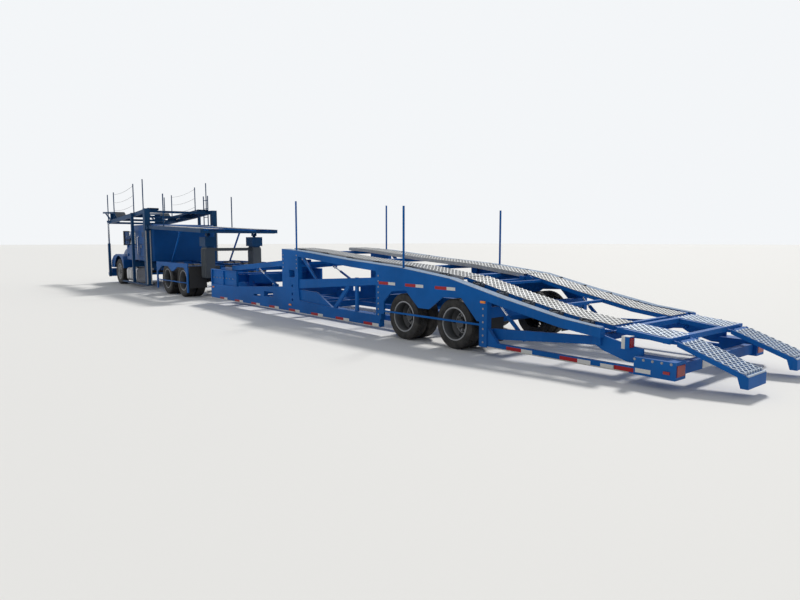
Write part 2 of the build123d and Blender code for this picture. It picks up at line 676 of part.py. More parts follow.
finish(fenders, "drive_fenders")

# Head rack: two side beams with cross beams and safety rods, hinged on the rear posts
rack_line = (ahead_of(rack_pivot[0], [(-50, 2820), (110, 2815)])
             + ahead_of(steer_axle, [(-1950, 2700), (350, 2570), (1410, 2520)]))
rack_rods = (rack_pivot[0] + 310, steer_axle - 2150, steer_axle + 450, steer_axle + 1350)
rack_crosses = (rack_pivot[0] + 130, steer_axle - 1850, steer_axle - 250, steer_axle + 1360)
rod_width = side_face - 150
with BuildPart() as rack:
    for side in (1, -1):
        band(rack_line, rack_beam_depth, (side * rack_beam[0], side * rack_beam[1]))
        crosswise(*rack_pivot, (side * (rack_beam[0] - 5), side * (rack_beam[1] + 5)), 20 + pin_play,
                  mode=Mode.SUBTRACT)
        for station in rack_rods:
            top = height_on(rack_line, station)
            upright(station, side * rod_width, (top - 20, top + guard_rod_height), guard_rod_radius)
        foot = height_on(rack_line, front_post[0])
        block(front_post, (side * (rack_beam[1] - 10), side * (side_face - 5)), (foot - 70, foot - 20))
        block(front_post, (side * (rack_beam[1] - 10), side * (side_face - 82)), (foot - 140, foot - 20))
    for station in rack_crosses:
        top = height_on(rack_line, station) - 40
        block((station - 40, station + 40), (-rack_beam[0] - 10, rack_beam[0] + 10), (top - 80, top))
finish(rack, "head_rack_frame")

rack_runway_line = ([(rack_pivot[0] + 30, 2850)]
                    + ahead_of(steer_axle, [(-1850, 2740), (50, 2650), (300, 2640), (650, 2860)])
                    + [(rack_tip_station, 2920)])
rack_runway = (side_face - 595, side_face - 215)
rack_lift = rack_runway_line[-2][0]
with BuildPart() as rack_runways:
    for side in (1, -1):
        runway(rack_runway_line, (side * rack_runway[0], side * rack_runway[1]),
               (rack_lift, rack_tip_station - 40))
        for width in (rack_runway[0] + 40, rack_runway[1] - 70):
            plate(ahead_of(rack_lift, [(1650, 2870), (1520, 2870), (680, 2560), (680, 2490), (750, 2490)]),
                  (side * width, side * (width + 30)))
    for station in rack_crosses:
        top = height_on(rack_line, station) - 40
        for side in (1, -1):
            block((station - rib_half, station + rib_half),
                  (side * (rack_runway[0] + 20), side * (rack_runway[1] - 20)),
                  (top, height_on(rack_runway_line, station) - runway_wall))
finish(rack_runways, "head_rack_runways")

with BuildPart() as inner_posts:
    for side in (1, -1):
        inner_width = (side * (post_inner + inner_post_inset), side * (side_face - inner_post_inset))
        block((front_post[0] + inner_post_inset, front_post[1] - inner_post_inset), inner_width, (900, 2410))
        crosswise(sum(front_post) / 2, 2410, inner_width, 28)
finish(inner_posts, "rack_inner_posts")

# Tractor upper deck, hinged on the rear posts and carried behind on two telescoping legs
deck_rear = 10250
deck_line = ((deck_pivot[0] + 50, 2230), (deck_rear, 2045))
deck_runway_front = deck_pivot[0] - 200
leg_station = deck_rear + 650
leg_width = (runway_inner + runway_outer) / 2
deck_crosses = (deck_rear + 60, leg_station, leg_station + 1550, deck_runway_front - 80)
deck_rods = (13450,)
with BuildPart() as upper_deck:
    for side in (1, -1):
        band(deck_line, 110, (side * deck_beam[0], side * deck_beam[1]))
        crosswise(*deck_pivot, (side * (deck_beam[0] - 5), side * (deck_beam[1] + 5)), 20 + pin_play,
                  mode=Mode.SUBTRACT)
        for station in deck_rods:
            top = height_on(deck_line, station)
            upright(station, side * sum(deck_beam) / 2, (top - 20, top + guard_rod_height), guard_rod_radius)
        for lug in ((leg_width - 60, leg_width - 35), (leg_width + 35, leg_width + 60)):
            top = height_on(deck_line, leg_station) - runway_depth - 58
            block((leg_station - 60, leg_station + 60), (side * lug[0], side * lug[1]), (top - 100, top + 20))
    for station in deck_crosses:
        top = height_on(deck_line, station) - runway_depth
        block((station - 40, station + 40), (-deck_beam[0] - 10, deck_beam[0] + 10), (top - 60, top + 2))
finish(upper_deck, "upper_deck_frame")

with BuildPart() as upper_runways:
    for side in (1, -1):
        runway(between(deck_line, deck_rear, deck_runway_front), (side * runway_inner, side * runway_outer),
               (11675, 13535))
    for station in deck_crosses:
        top = height_on(deck_line, station) - runway_depth
        for side in (1, -1):
            block((station - 41, station + 41), (side * (runway_inner - 5), side * (runway_outer + 5)),
                  (top - 60, top + 2), mode=Mode.SUBTRACT)
finish(upper_runways, "upper_deck_runways")

sleeve = (190, 130)
sleeve_wall = 20
sleeve_top = 1500
leg_head = (220, 170)
with BuildPart() as sleeves:
    for side in (1, -1):
        inner, outer = side * (leg_width - sleeve[1]), side * (leg_width + sleeve[1])
        block((leg_station - sleeve[0], leg_station + sleeve[0]), (inner, outer), (600, sleeve_top))
        for station in (-126, 0, 126):
            upright(leg_station + station, outer, (640, sleeve_top - 40), 38)
        block((leg_station - sleeve[0] + sleeve_wall, leg_station + sleeve[0] - sleeve_wall),
              (inner + side * sleeve_wall, outer - side * sleeve_wall), (590, sleeve_top + 10),
              mode=Mode.SUBTRACT)
        block((leg_station - 80, leg_station + 80), (side * rail_outer, inner), (720, 950))
    block((leg_station - 45, leg_station + 45), (-(leg_width - sleeve[1]), leg_width - sleeve[1]),
          (sleeve_top - 100, sleeve_top - 10))
finish(sleeves, "leg_sleeves")

with BuildPart() as legs:
    for side in (1, -1):
        play = sleeve_wall + 0.3
        leg_eye = (side * (leg_width - 29), side * (leg_width + 29))
        leg_widths = (side * (leg_width - sleeve[1] + play), side * (leg_width + sleeve[1] - play))
        block((leg_station - sleeve[0] + play, leg_station + sleeve[0] - play), leg_widths, (660, 1600))
        block((leg_station - leg_head[0], leg_station + leg_head[0]),
              (side * (leg_width - leg_head[1]), side * (leg_width + leg_head[1])), (sleeve_top + 40, 1820))
        block((leg_station - 45, leg_station + 45), leg_eye, (1800, 1875))
        crosswise(leg_station, 1875, leg_eye, 45)
finish(legs, "deck_legs")

# Trailer side frames
trailer_rods = (4830, 1230)
low_slots = (((6480, 6850), (385, 420)), ((5850, 6290), (405, 520)))
with BuildPart() as side_frames:
    for side in (1, -1):
        for station in trailer_rods:
            top = height_on(chord_line, station)
            upright(station, side * (side_face - 50), (top - 20, top + guard_rod_height), guard_rod_radius)
        full = (side * side_inner, side * side_face)
        panel = inset(side, 30, 0)
        band(chord_line, chord_depth, full)
        plate([(1830, rail_bottom), (trailer_front, rail_bottom), (trailer_front, 531), (7800, 542),
               (5470, 676), (4700, 676), (4650, 420), (3300, 375), (1830, 360)], full)
        plate([(4700, 400), (5400, 400), (5400, 1500), (4700, 1470)], full)
        plate([(4810, 670), (1820, 920), (1820, 1050), (4750, 870)], inset(side, 80, 20))
        plate([(1800, 300), (1950, 300), (1950, 1180), (1800, 1180)], full)
        plate([(2560, 360), (2640, 360), (2640, 1010), (2560, 1010)], inset(side, 70, 30))
        plate([(3300, 360), (3400, 370), (2800, 960), (2700, 940)], inset(side, 70, 30))
        plate([(3400, 360), (4700, 390), (4700, 650), (4000, 640)], inset(side, 70, 30))
        plate([(4100, 930), (4000, 900), (4560, 1400), (4700, 1420)], inset(side, 70, 30))
        block((4850, 5080), (side * (side_inner - 5), side * (side_face + 5)), (910, 1070), mode=Mode.SUBTRACT)
        for height in (720, 540, 410):
            crosswise(4965, height, (side * (side_inner - 5), side * (side_face + 5)), 32, mode=Mode.SUBTRACT)
        plate([(1840, 400), (1840, 1200), (1280, 1180), (60, 1050), (-600, 900), (-600, 505), (-530, 505),
               (-200, 830), (210, 810), (540, 590), (790, 590), (1120, 860), (1500, 820), (1720, 630),
               (1720, 400)], panel)
        block((-600, 1830), inset(side, 27, 5), (440, 470))
        plate([(-730, 130), (-580, 130), (-580, 900), (-730, 870)], full)
        plate([(-1000, 130), (-730, 130), (-730, 420)], inset(side, 80, 20))
        block((-3060, -730), inset(side, 80, 20), (130, 210))
        block((-3550, -3050), inset(side, 250, 0), (130, 340))
        block((-2980, -2880), inset(side, 130, 5), (420, 560))
        plate([(-730, 400), (-2560, 500), (-2560, 400), (-730, 240)], inset(side, 195, 135))
        block((-740, -700), inset(side, 195, side_depth), (240, 400))
        plate([(-2540, 630), (-2440, 640), (-2440, 400), (-2560, 400)], inset(side, 175, 75))
        plate([(-3100, 240), (-2900, 240), (-2560, 340), (-2450, 400), (-2450, 520), (-2560, 530),
               (-2880, 450), (-3100, 420)], inset(side, 145, 115))
        plate([(7800, 530), (trailer_front, 520), (trailer_front, 940), (7800, 930)], inset(side, 60, 35))
        plate([(7800, 910), (trailer_front, 920), (trailer_front, 940), (7800, 930)], inset(side, 40, 0))
        for station in (7800, 8600, trailer_front - 50):
            block((station, station + 50), inset(side, 40, 0), (520, 925))
        for slot, heights in low_slots:
            block(slot, (side * (side_inner - 5), side * (side_face + 5)), heights, mode=Mode.SUBTRACT)
        # Brackets: the front deck's hinge, its cylinder's foot and the rear cylinder's foot
        block((5400, front_deck_pivot[0] + 40), inset(side, 60, 30), (1130, 1250))
        crosswise(*front_deck_pivot, (side * (deck_beam[0] + 5), side * (side_face - 55)), 20)
        block((5940, 6060), inset(side, 155, side_depth), (540, 700))
        crosswise(6000, 660, inset(side, 225, 150), 15)
        crosswise(-1250, 300, inset(side, 265, 190), 15)
finish(side_frames, "trailer_side_frames")

# Red lamps: on the ends of the low rails, on the boxes above them and at the middle of the rear beam
lens = 8
with BuildPart() as tail_lamps:
    for side in (1, -1):
        block((-3550 - lens, -3550), inset(side, 220, 30), (170, 300))
        block((-2980 - lens, -2980), inset(side, 103, 17), (432, 548))
    for width in (-90, 0, 90):
        block((-3500 - lens, -3500), (width - 28, width + 28), (205, 245))
finish(tail_lamps, "tail_lamps")

runway_line = [(s, z + runway_rise) for s, z in chord_line]
fixed_crosses = (5230, 3300, 1900, 600)
with BuildPart() as cross_members:
    block((8480, 9400), (-450, 450), (hitch_top, 600))
    upright(pivot_station, 0, (hitch_top - 80, hitch_top + 10), kingpin_radius)
    for station in (8540, 9340):
        block((station - 60, station + 60), (-(side_face - 60), side_face - 60), (600, 800))
    for station in (6000, 7000, 8000):
        block((station - 50, station + 50), (-side_inner, side_inner), (160, 260))
    block((8480, 8600), (-60, 60), (600, 800))
    for side in (1, -1):
        block((5000, 8480), (side * 560, side * 660), (160, 260))
        block((8380, 8480), (side * 560, side * 660), (160, 800))
        block((8380, 8600), (side * 560, side * 660), (700, 800))
        block((1900, 5100), (side * 560, side * 660), (160, 260))
        block((1850, 1950), (side * 560, side * 660), (160, 720))
        block((-700, 1950), (side * 560, side * 660), (560, 720))
        for axle in trailer_axles:
            block((axle - 70, axle + 70), (side * 560, side * 660), (trailer_tyre_radius + 20, 560))
            reach = (trailer_outer_tyre + trailer_inner_tyre) / 2 + spindle_reach - 5
            crosswise(axle, trailer_tyre_radius, (side * 690, side * reach), trailer_spindle_radius)
    for axle in trailer_axles:
        crosswise(axle, trailer_tyre_radius, (-700, 700), 60)
    block((5050, 5150), (-side_inner, side_inner), (160, 300))
    block((1850, 1950), (-side_inner, side_inner), (560, 720))
    block((-720, -600), (-side_inner, side_inner), (560, 720))
    block((-2550, -2450), (-(side_face - 195), side_face - 195), (440, 520))
    block((-3500, -3400), (-(side_face - 250), side_face - 250), (160, 290))
    for station in fixed_crosses:
        line = between(runway_line, station - 40, station + 40, -runway_depth - 12)
        band(line, 68, (-side_inner, side_inner))
    block((60, 150), (-side_inner, side_inner), (960, 1040))
    for side in (1, -1):
        plate([(70, 960), (70, 1100), (-25, 1090), (-25, 1040), (20, 960)],
              (side * (runway_inner - 70), side * (runway_inner - 40)))
        crosswise(*rear_deck_pivot, (side * (runway_inner - 60), side * runway_inner), 15)
finish(cross_members, "trailer_cross_members")

with BuildPart() as fixed_runways:
    for side in (1, -1):
        runway(between(runway_line, 40, 5350), (side * runway_inner, side * runway_outer), fixed_crosses,
               runway_depth + 12)
finish(fixed_runways, "trailer_runways")

# Front deck of the trailer with its cylinders
front_deck_line = ((5430, 1268), (7530, 1100), (8880, 985))
front_crosses = (5560, 7130, 8800)
front_ram_foot = (6000, 660)
front_ram_eye = (6900, 1020)
with BuildPart() as front_deck:
    for side in (1, -1):
        runway(between(front_deck_line, 5450, 8860), (side * runway_inner, side * runway_outer), (6345, 7965))
        band(front_deck_line, 120, (side * deck_beam[0], side * deck_beam[1]))
        crosswise(*front_deck_pivot, (side * (deck_beam[0] - 5), side * (deck_beam[1] + 5)), 20 + pin_play,
                  mode=Mode.SUBTRACT)
        top = height_on(front_deck_line, front_ram_eye[0]) - 110
        block((front_ram_eye[0] - 50, front_ram_eye[0] + 50),
              (side * deck_beam[0], side * (deck_beam[0] + 30)), (960, top))
    for station in front_crosses:
        top = height_on(front_deck_line, station) - 40
        block((station - 40, station + 40), (-deck_beam[0] - 10, deck_beam[0] + 10), (top - 70, top))
finish(front_deck, "front_deck")


def ram(foot, eye, width, kind, bore=18, wall=12, barrel_length=560, eye_radius=35, pin=15):
    """One hydraulic cylinder between two pins: its barrel, or its rod"""
    length = math.dist(foot, eye)
    half = 25
    if kind == "barrel":
        tube_along(foot, eye, width, eye_radius - 8, barrel_length, bore + wall)
        tube_along(foot, eye, width, eye_radius + 20, barrel_length + 5, bore + pin_play, mode=Mode.SUBTRACT)
        crosswise(*foot, (width - half, width + half), eye_radius)
        crosswise(*foot, (width - half - 5, width + half + 5), pin + pin_play, mode=Mode.SUBTRACT)
    else:
        tube_along(foot, eye, width, length - barrel_length + 80, length - eye_radius + 8, bore)
        crosswise(*eye, (width - half, width + half), eye_radius)
        crosswise(*eye, (width - half - 5, width + half + 5), pin, mode=Mode.SUBTRACT)


front_ram_width = deck_beam[0] - 32
rear_ram_foot = (-1250, 300)
rear_ram_eye = (-760, 760)
rear_ram_width = runway_outer + 62
for kind in ("barrel", "rod"):
    with BuildPart() as front_rams:
        for side in (1, -1):
            ram(front_ram_foot, front_ram_eye, side * front_ram_width, kind, barrel_length=640)
    finish(front_rams, f"front_deck_{kind}s")
    with BuildPart() as rear_rams:
        for side in (1, -1):
            ram(rear_ram_foot, rear_ram_eye, side * rear_ram_width, kind, barrel_length=440)
    finish(rear_rams, f"rear_deck_{kind}s")

# Rear deck, tail deck and ramps
rear_deck_line = ((-40, 1125), (-1000, 905), (-2000, 705), (-2600, 635))
rear_crosses = (-330, -1500, -2540)
with BuildPart() as rear_deck:
    for side in (1, -1):
        runway(rear_deck_line, (side * runway_inner, side * runway_outer), (-750, -1800, -2570))
        plate([(25, 1040), (25, 1090), (-120, 1100), (-200, 1060), (-120, 1010)],
              (side * (runway_inner - 35), side * runway_inner))
        crosswise(*rear_deck_pivot, (side * (runway_inner - 40), side * (runway_inner + 15)), 15 + pin_play,
                  mode=Mode.SUBTRACT)
        plate([(-820, 730), (-700, 730), (-680, 960), (-840, 920)],
              (side * (runway_outer - 5), side * (runway_outer + 30)))
        for lug in ((runway_inner + 20, runway_inner + 50),
                    (runway_outer - 50, runway_outer - 20)):
            plate([(-2590, 575), (-2590, 625), (-2650, 620), (-2650, 580)], (side * lug[0], side * lug[1]))
            crosswise(*tail_pivot, (side * (lug[0] - 5), side * (lug[1] + 5)), 12 + pin_play,
                      mode=Mode.SUBTRACT)
    for station in rear_crosses:
        top = height_on(rear_deck_line, station) - 15
        block((station - 30, station + 30), (-runway_inner - 10, runway_inner + 10), (top - 40, top))
finish(rear_deck, "rear_deck")

tail_line = ((-2670, 625), (-3350, 555))
ramp_line = ((-3415, 535), (-4150, 265))
with BuildPart() as tail_deck:
    for station in (-2710, -3310):
        top = height_on(tail_line, station)
        block((station - 40, station + 40), (-(runway_outer + 50), runway_outer + 50), (top - 60, top + 4))
    for side in (1, -1):
        for bar in ((runway_inner - 50, runway_inner), (runway_outer, runway_outer + 50)):
            band(tail_line, 60, (side * bar[0], side * bar[1]))
        band(between(tail_line, -3340, -2680), 12, (side * (runway_inner - 5), side * (runway_outer + 5)))
        for lug in ((runway_inner + 55, runway_inner + 85),
                    (runway_outer - 85, runway_outer - 55)):
            plate([(-2700, 575), (-2700, 625), (-2615, 620), (-2615, 580)], (side * lug[0], side * lug[1]))
        crosswise(*tail_pivot, (side * (runway_inner + 22), side * (runway_inner + 83)), 12)
        crosswise(*tail_pivot, (side * (runway_outer - 83), side * (runway_outer - 22)), 12)
        for lug in ((runway_inner + 30, runway_inner + 60),
                    (runway_outer - 60, runway_outer - 30)):
            plate([(-3330, 490), (-3330, 540), (-3415, 520), (-3415, 490)], (side * lug[0], side * lug[1]))
        crosswise(*ramp_pivot, (side * (runway_inner + 35), side * (runway_inner + 100)), 10)
        crosswise(*ramp_pivot, (side * (runway_outer - 100), side * (runway_outer - 35)), 10)
finish(tail_deck, "tail_deck")

for side_name, side in sides:
    with BuildPart() as ramp:
        runway(ramp_line, (side * runway_inner, side * runway_outer), (-3445, -3800))
        plate([(-4150, 265), (ramp_tip_station, 240), (ramp_tip_station, 110), (-4120, 110), (-4080, 240)],
              (side * runway_inner, side * runway_outer))
        for lug in ((runway_inner + 65, runway_inner + 97),
                    (runway_outer - 97, runway_outer - 65)):
            plate([(-3420, 480), (-3420, 540), (-3383, 525), (-3383, 490)], (side * lug[0], side * lug[1]))
            crosswise(*ramp_pivot, (side * (lug[0] - 5), side * (lug[1] + 5)), 10 + pin_play,
                      mode=Mode.SUBTRACT)
        for lug in ((runway_inner + 30, runway_inner + 60),
                    (runway_outer - 60, runway_outer - 30)):
            block((-3455, -3365), (side * (lug[0] - 5), side * (lug[1] + 5)), (465, 560), mode=Mode.SUBTRACT)
    finish(ramp, f"ramp_{side_name}")
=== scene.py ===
import math

import bmesh
import bpy
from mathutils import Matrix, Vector


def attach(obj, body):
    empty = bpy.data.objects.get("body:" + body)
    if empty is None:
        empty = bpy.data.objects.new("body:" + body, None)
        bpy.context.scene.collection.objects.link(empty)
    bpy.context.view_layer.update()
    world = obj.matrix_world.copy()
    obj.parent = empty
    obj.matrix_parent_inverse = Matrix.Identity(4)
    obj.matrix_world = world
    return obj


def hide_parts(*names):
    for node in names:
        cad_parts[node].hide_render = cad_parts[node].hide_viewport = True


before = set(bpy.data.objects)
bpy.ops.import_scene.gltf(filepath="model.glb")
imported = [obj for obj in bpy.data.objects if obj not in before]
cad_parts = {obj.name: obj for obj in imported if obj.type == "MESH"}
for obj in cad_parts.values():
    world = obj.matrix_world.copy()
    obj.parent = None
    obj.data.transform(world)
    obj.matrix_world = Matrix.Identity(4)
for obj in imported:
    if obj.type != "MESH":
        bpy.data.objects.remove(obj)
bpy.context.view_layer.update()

# The yard it stands in: a pale, smooth floor under a pale sky. One broad key light comes from
# the far side, as the sun does on the real one, and the sky fills the near side softly.
floor_half = 300.0
floor_colour = (0.78, 0.78, 0.77)
sky_colour = (0.90, 0.92, 0.94)
fill_colour = (0.93, 0.96, 1.0)
fill_strength = 0.42
key_power = 2.6
key_colour = (1.0, 0.97, 0.92)
key_spread = math.radians(9)
key_from = Vector((0.30, -0.62, 0.72))
lens_length = 27.05
camera_place = Vector((-15.21, 7.90, 1.70))
camera_heading = (0.768, -0.640)
camera_pitch = math.radians(5.607)


def feed(tree, made, feeds):
    """Gives inputs of a node their values, or links them to a socket or a node's first output"""
    for label, value in feeds.items():
        socket = made.inputs[label]
        if isinstance(value, bpy.types.Node):
            value = value.outputs[0]
        if isinstance(value, bpy.types.NodeSocket):
            tree.links.new(value, socket)
        else:
            socket.default_value = (*value, 1.0) if socket.type == "RGBA" else value


def node(tree, kind, feeds=None, **settings):
    """One shader or geometry node with its settings made and its inputs fed"""
    made = tree.nodes.new(kind)
    for key, value in settings.items():
        setattr(made, key, value)
    feed(tree, made, feeds or {})
    return made


def maths(tree, operation, *values):
    """A sum on numbers and sockets"""
    return node(tree, "ShaderNodeMath", dict(enumerate(values)), operation=operation).outputs[0]


def new_material(name):
    """A material with only a Principled BSDF and its output"""
    material = bpy.data.materials.new(name)
    material.use_nodes = True
    tree = material.node_tree
    return material, tree, tree.nodes["Principled BSDF"]


def put(name, mesh, material=None):
    """A finished mesh as an object at the origin"""
    piece = bpy.data.objects.new(name, mesh)
    bpy.context.scene.collection.objects.link(piece)
    if material is not None:
        mesh.materials.clear()
        mesh.materials.append(material)
    return piece


floor_mesh = bpy.data.meshes.new("floor")
floor_corners = [(x * floor_half, y * floor_half, 0) for x, y in ((-1, -1), (1, -1), (1, 1), (-1, 1))]
floor_mesh.from_pydata(floor_corners, [], [(0, 1, 2, 3)])
floor_material, floor_tree, floor_shader = new_material("pale_floor")
feed(floor_tree, floor_shader, {"Base Color": floor_colour, "Roughness": 0.85})
put("floor", floor_mesh, floor_material)

world = bpy.data.worlds.new("pale_sky")
bpy.context.scene.world = world
world.use_nodes = True
sky = world.node_tree
sky.nodes.clear()
seen = node(sky, "ShaderNodeBackground", {"Color": sky_colour})
fill = node(sky, "ShaderNodeBackground", {"Color": fill_colour, "Strength": fill_strength})
rays = node(sky, "ShaderNodeLightPath")
camera_or_glossy = maths(sky, "MAXIMUM", rays.outputs["Is Camera Ray"], rays.outputs["Is Glossy Ray"])
any_view = maths(sky, "MAXIMUM", camera_or_glossy, rays.outputs["Is Transmission Ray"])
sky_mix = node(sky, "ShaderNodeMixShader", {0: any_view, 1: fill, 2: seen})
node(sky, "ShaderNodeOutputWorld", {0: sky_mix})

key_data = bpy.data.lights.new("key", "SUN")
key_data.energy = key_power
key_data.angle = key_spread
key_data.color = key_colour
key = bpy.data.objects.new("key", key_data)
key.rotation_euler = key_from.to_track_quat("Z", "Y").to_euler()
bpy.context.scene.collection.objects.link(key)

camera_data = bpy.data.cameras.new("camera")
camera_data.sensor_width = 36.0
camera_data.lens = lens_length
camera_data.clip_end = 1000.0
camera = bpy.data.objects.new("camera", camera_data)
look = Vector((camera_heading[0] * math.cos(camera_pitch), camera_heading[1] * math.cos(camera_pitch),
               -math.sin(camera_pitch)))
camera.location = camera_place
camera.rotation_euler = look.to_track_quat("-Z", "Y").to_euler()
bpy.context.scene.collection.objects.link(camera)
bpy.context.scene.camera = camera
bpy.context.scene.view_settings.view_transform = "Standard"

# Trailer frame: plate side frames and cross beams, welded and sprayed with blue enamel. The
# enamel is faded in patches, chipped to primer along the low edges and grey with road dust. Its
# upward faces are paler: real dust lying there, laid on thick enough to be painted sunlight on the tops too.
blue_enamel = (0.006, 0.125, 0.440)
primer = (0.17, 0.16, 0.155)
road_dust = (0.33, 0.31, 0.28)
most_streaks = 0.08
most_dust_low_down = 0.05
# dust lying on upward faces, heavy enough to be painted light as well: the tops paler, as sunlit tops are
most_top_dust_and_light = 0.34


def label_of(key):
    """The name of a group's socket, from a keyword"""
    return key.replace("_", " ").title()


def finish_group(name, **inputs):
    """A shader group for a worn finish: colours and numbers in; colour, roughness and relief out"""
    tree = bpy.data.node_groups.new(name, "ShaderNodeTree")
    for key, value in inputs.items():
        is_colour = isinstance(value, tuple)
        socket = tree.interface.new_socket(label_of(key), in_out="INPUT",
                                           socket_type="NodeSocketColor" if is_colour else "NodeSocketFloat")
        socket.default_value = (*value, 1.0) if is_colour else value
    for label, kind in (("Color", "Color"), ("Roughness", "Float"), ("Height", "Float")):
        tree.interface.new_socket(label, in_out="OUTPUT", socket_type=f"NodeSocket{kind}")
    return tree, node(tree, "NodeGroupInput").outputs, node(tree, "NodeGroupOutput")


def object_place(tree):
    """The place of each point in the object's own coordinates"""
    return node(tree, "ShaderNodeTexCoord").outputs["Object"]


def noise(tree, where, scale, detail=3.0, roughness=0.5):
    """A cloudy value between 0 and 1"""
    return node(tree, "ShaderNodeTexNoise", {"Vector": where, "Scale": scale, "Detail": detail,
                                             "Roughness": roughness}).outputs["Fac"]


def remap(tree, value, low, high, to_low=0.0, to_high=1.0):
    """A value carried from one range to another and held at its ends"""
    return node(tree, "ShaderNodeMapRange", {"Value": value, "From Min": low, "From Max": high,
                                             "To Min": to_low, "To Max": to_high}).outputs["Result"]


def scaled(tree, vector, factor):
    """A colour or vector made larger or smaller"""
    return node(tree, "ShaderNodeVectorMath", {0: vector, "Scale": factor}, operation="SCALE").outputs[0]


def mixed(tree, factor, first, second):
    """One colour passing into another; a Mix node's inputs 6 and 7 and output 2 are its colours"""
    return node(tree, "ShaderNodeMix", {"Factor": factor, 6: first, 7: second}, data_type="RGBA").outputs[2]


wear, wear_in, wear_out = finish_group("road_wear", paint=blue_enamel, undercoat=primer, dust=road_dust,
                                       chipping=0.5, dust_height=1.0, gloss=0.35)
place = object_place(wear)
facing = node(wear, "ShaderNodeSeparateXYZ", {0: node(wear, "ShaderNodeNewGeometry").outputs["Normal"]})
spot = node(wear, "ShaderNodeSeparateXYZ", {0: place})
fading = remap(wear, noise(wear, place, 0.9, 4.0, 0.6), 0.3, 0.7, 0.80, 1.15)
threshold = maths(wear, "MULTIPLY_ADD", wear_in["Chipping"], -0.16, 0.76)
speckle = maths(wear, "SUBTRACT", noise(wear, place, 24.0, 7.0, 0.68), threshold)
chips = remap(wear, speckle, 0.0, 0.03)
faded = scaled(wear, wear_in["Paint"], fading)
chipped = mixed(wear, chips, faded, wear_in["Undercoat"])
stretch = node(wear, "ShaderNodeMapping", {"Vector": place, "Scale": (7.0, 7.0, 0.7)})
streaks = remap(wear, noise(wear, stretch, 1.6, 5.0, 0.6), 0.56, 0.84, 0.0, most_streaks)
height_share = maths(wear, "DIVIDE", spot.outputs["Z"], wear_in["Dust Height"])
low_down = remap(wear, maths(wear, "SUBTRACT", 1.0, height_share), 0.0, 1.0, 0.0, most_dust_low_down)
# upward faces paler: real dust, and painted light on the tops
top_dust_and_light = remap(wear, facing.outputs["Z"], 0.5, 1.0, 0.0, most_top_dust_and_light)
settled_dust_and_top_light = maths(wear, "ADD", maths(wear, "ADD", low_down, top_dust_and_light), streaks)
cloud = remap(wear, noise(wear, place, 5.0, 6.0, 0.62), 0.32, 0.72, 0.15, 1.0)
# this mix carries the painted light on the tops as well as the dust
dusty = maths(wear, "MULTIPLY", settled_dust_and_top_light, cloud)
rough = maths(wear, "MULTIPLY_ADD", dusty, 0.55, wear_in["Gloss"])
orange_peel = maths(wear, "MULTIPLY", noise(wear, place, 90.0, 2.0), 0.12)
feed(wear, wear_out, {"Color": mixed(wear, dusty, chipped, wear_in["Dust"]),
                      "Roughness": maths(wear, "MULTIPLY_ADD", chips, 0.2, rough),
                      "Height": maths(wear, "SUBTRACT", orange_peel, chips)})


def worn_finish(name, source, metallic=0.0, bump=0.0015, shine=0.5, **values):
    """A material whose colour, roughness and relief come from one of the shared groups"""
    material, tree, shader = new_material(name)
    used = node(tree, "ShaderNodeGroup", node_tree=source)
    feed(tree, used, {label_of(key): value for key, value in values.items()})
    relief = node(tree, "ShaderNodeBump", {"Distance": bump, "Height": used.outputs["Height"]})
    feed(tree, shader, {"Base Color": used.outputs["Color"], "Roughness": used.outputs["Roughness"],
                        "Normal": relief, "Metallic": metallic, "Specular IOR Level": shine})
    return material


def coat_nodes(material, *names):
    """Gives CAD nodes their finish"""
    for name in names:
        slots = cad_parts[name].data.materials
        slots.clear()
        slots.append(material)


blue = worn_finish("blue_enamel", wear, paint=blue_enamel, chipping=0.42, dust_height=0.9, gloss=0.45,
                   shine=0.07)
coat_nodes(blue, "trailer_side_frames", "trailer_cross_members")

# Tapes, bolts and small fittings on the frame: reflective film stuck along the rails, steel bolts
# and rivets, a rubbed steel flange on each side frame, lamps, levers and rubber flaps. Those that
# repeat are set out by points, with one made at every point.
origin_station = 8.55  # places are stations forward of the trailer's rear axle; this one is the frame's zero
both = (1, -1)
side_names = (("left", 1), ("right", -1))
side_face = 1.295
tail_face = 1.275
tape_height = 0.05
tape_proud = 0.0012
tape_red = 0.27
tape_white = 0.19
low_pairs = [1.87 + 0.93 * step for step in range(8)]
high_pairs = (1.40, 0.67, -0.07)
tail_pairs = (-1.55, -2.46)
last_pieces = {"red": ((-3.05, tail_face, 0.170),),
               "white": ((-2.79, tail_face, 0.165), (-3.26, side_face, 0.185))}
# each row of bolts: its first station and height, its steps along and up, and its number
bolt_rows = ((4.76, 1.12, 0, 0.09, 4), (5.34, 1.12, 0, 0.09, 4), (1.875, 0.38, 0, 0.10, 8),
             (-0.655, 0.20, 0, 0.10, 7), (8.0, 0.72, 0.2, 0, 7), (-3.5, 0.315, 0.11, 0, 5))
flange_line = ((5.40, 1.520, 1.075), (4.61, 1.480, 1.075), (2.76, 1.330, 1.075), (1.28, 1.240, 1.075),
               (0.06, 1.110, 1.115), (-0.96, 0.886, 1.115), (-2.00, 0.690, 1.150), (-2.58, 0.627, 1.190))
flange_outer = side_face - 0.002
flange_top, flange_bottom = 0.007, -0.001


def placed(station, width, height):
    """A place given by its station, width and height"""
    return (station - origin_station, width, height)


def on_sides(places, sides=both):
    """Some places on the left side, then the same on the right"""
    return [placed(station, side * width, height) for side in sides for station, width, height in places]


def fixed(piece, body):
    """Makes a piece ride on its body"""
    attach(piece, body)


def mesh_from(name, form):
    """A bmesh made a plain mesh, and freed"""
    mesh = bpy.data.meshes.new(name)
    form.to_mesh(mesh)
    form.free()
    return mesh


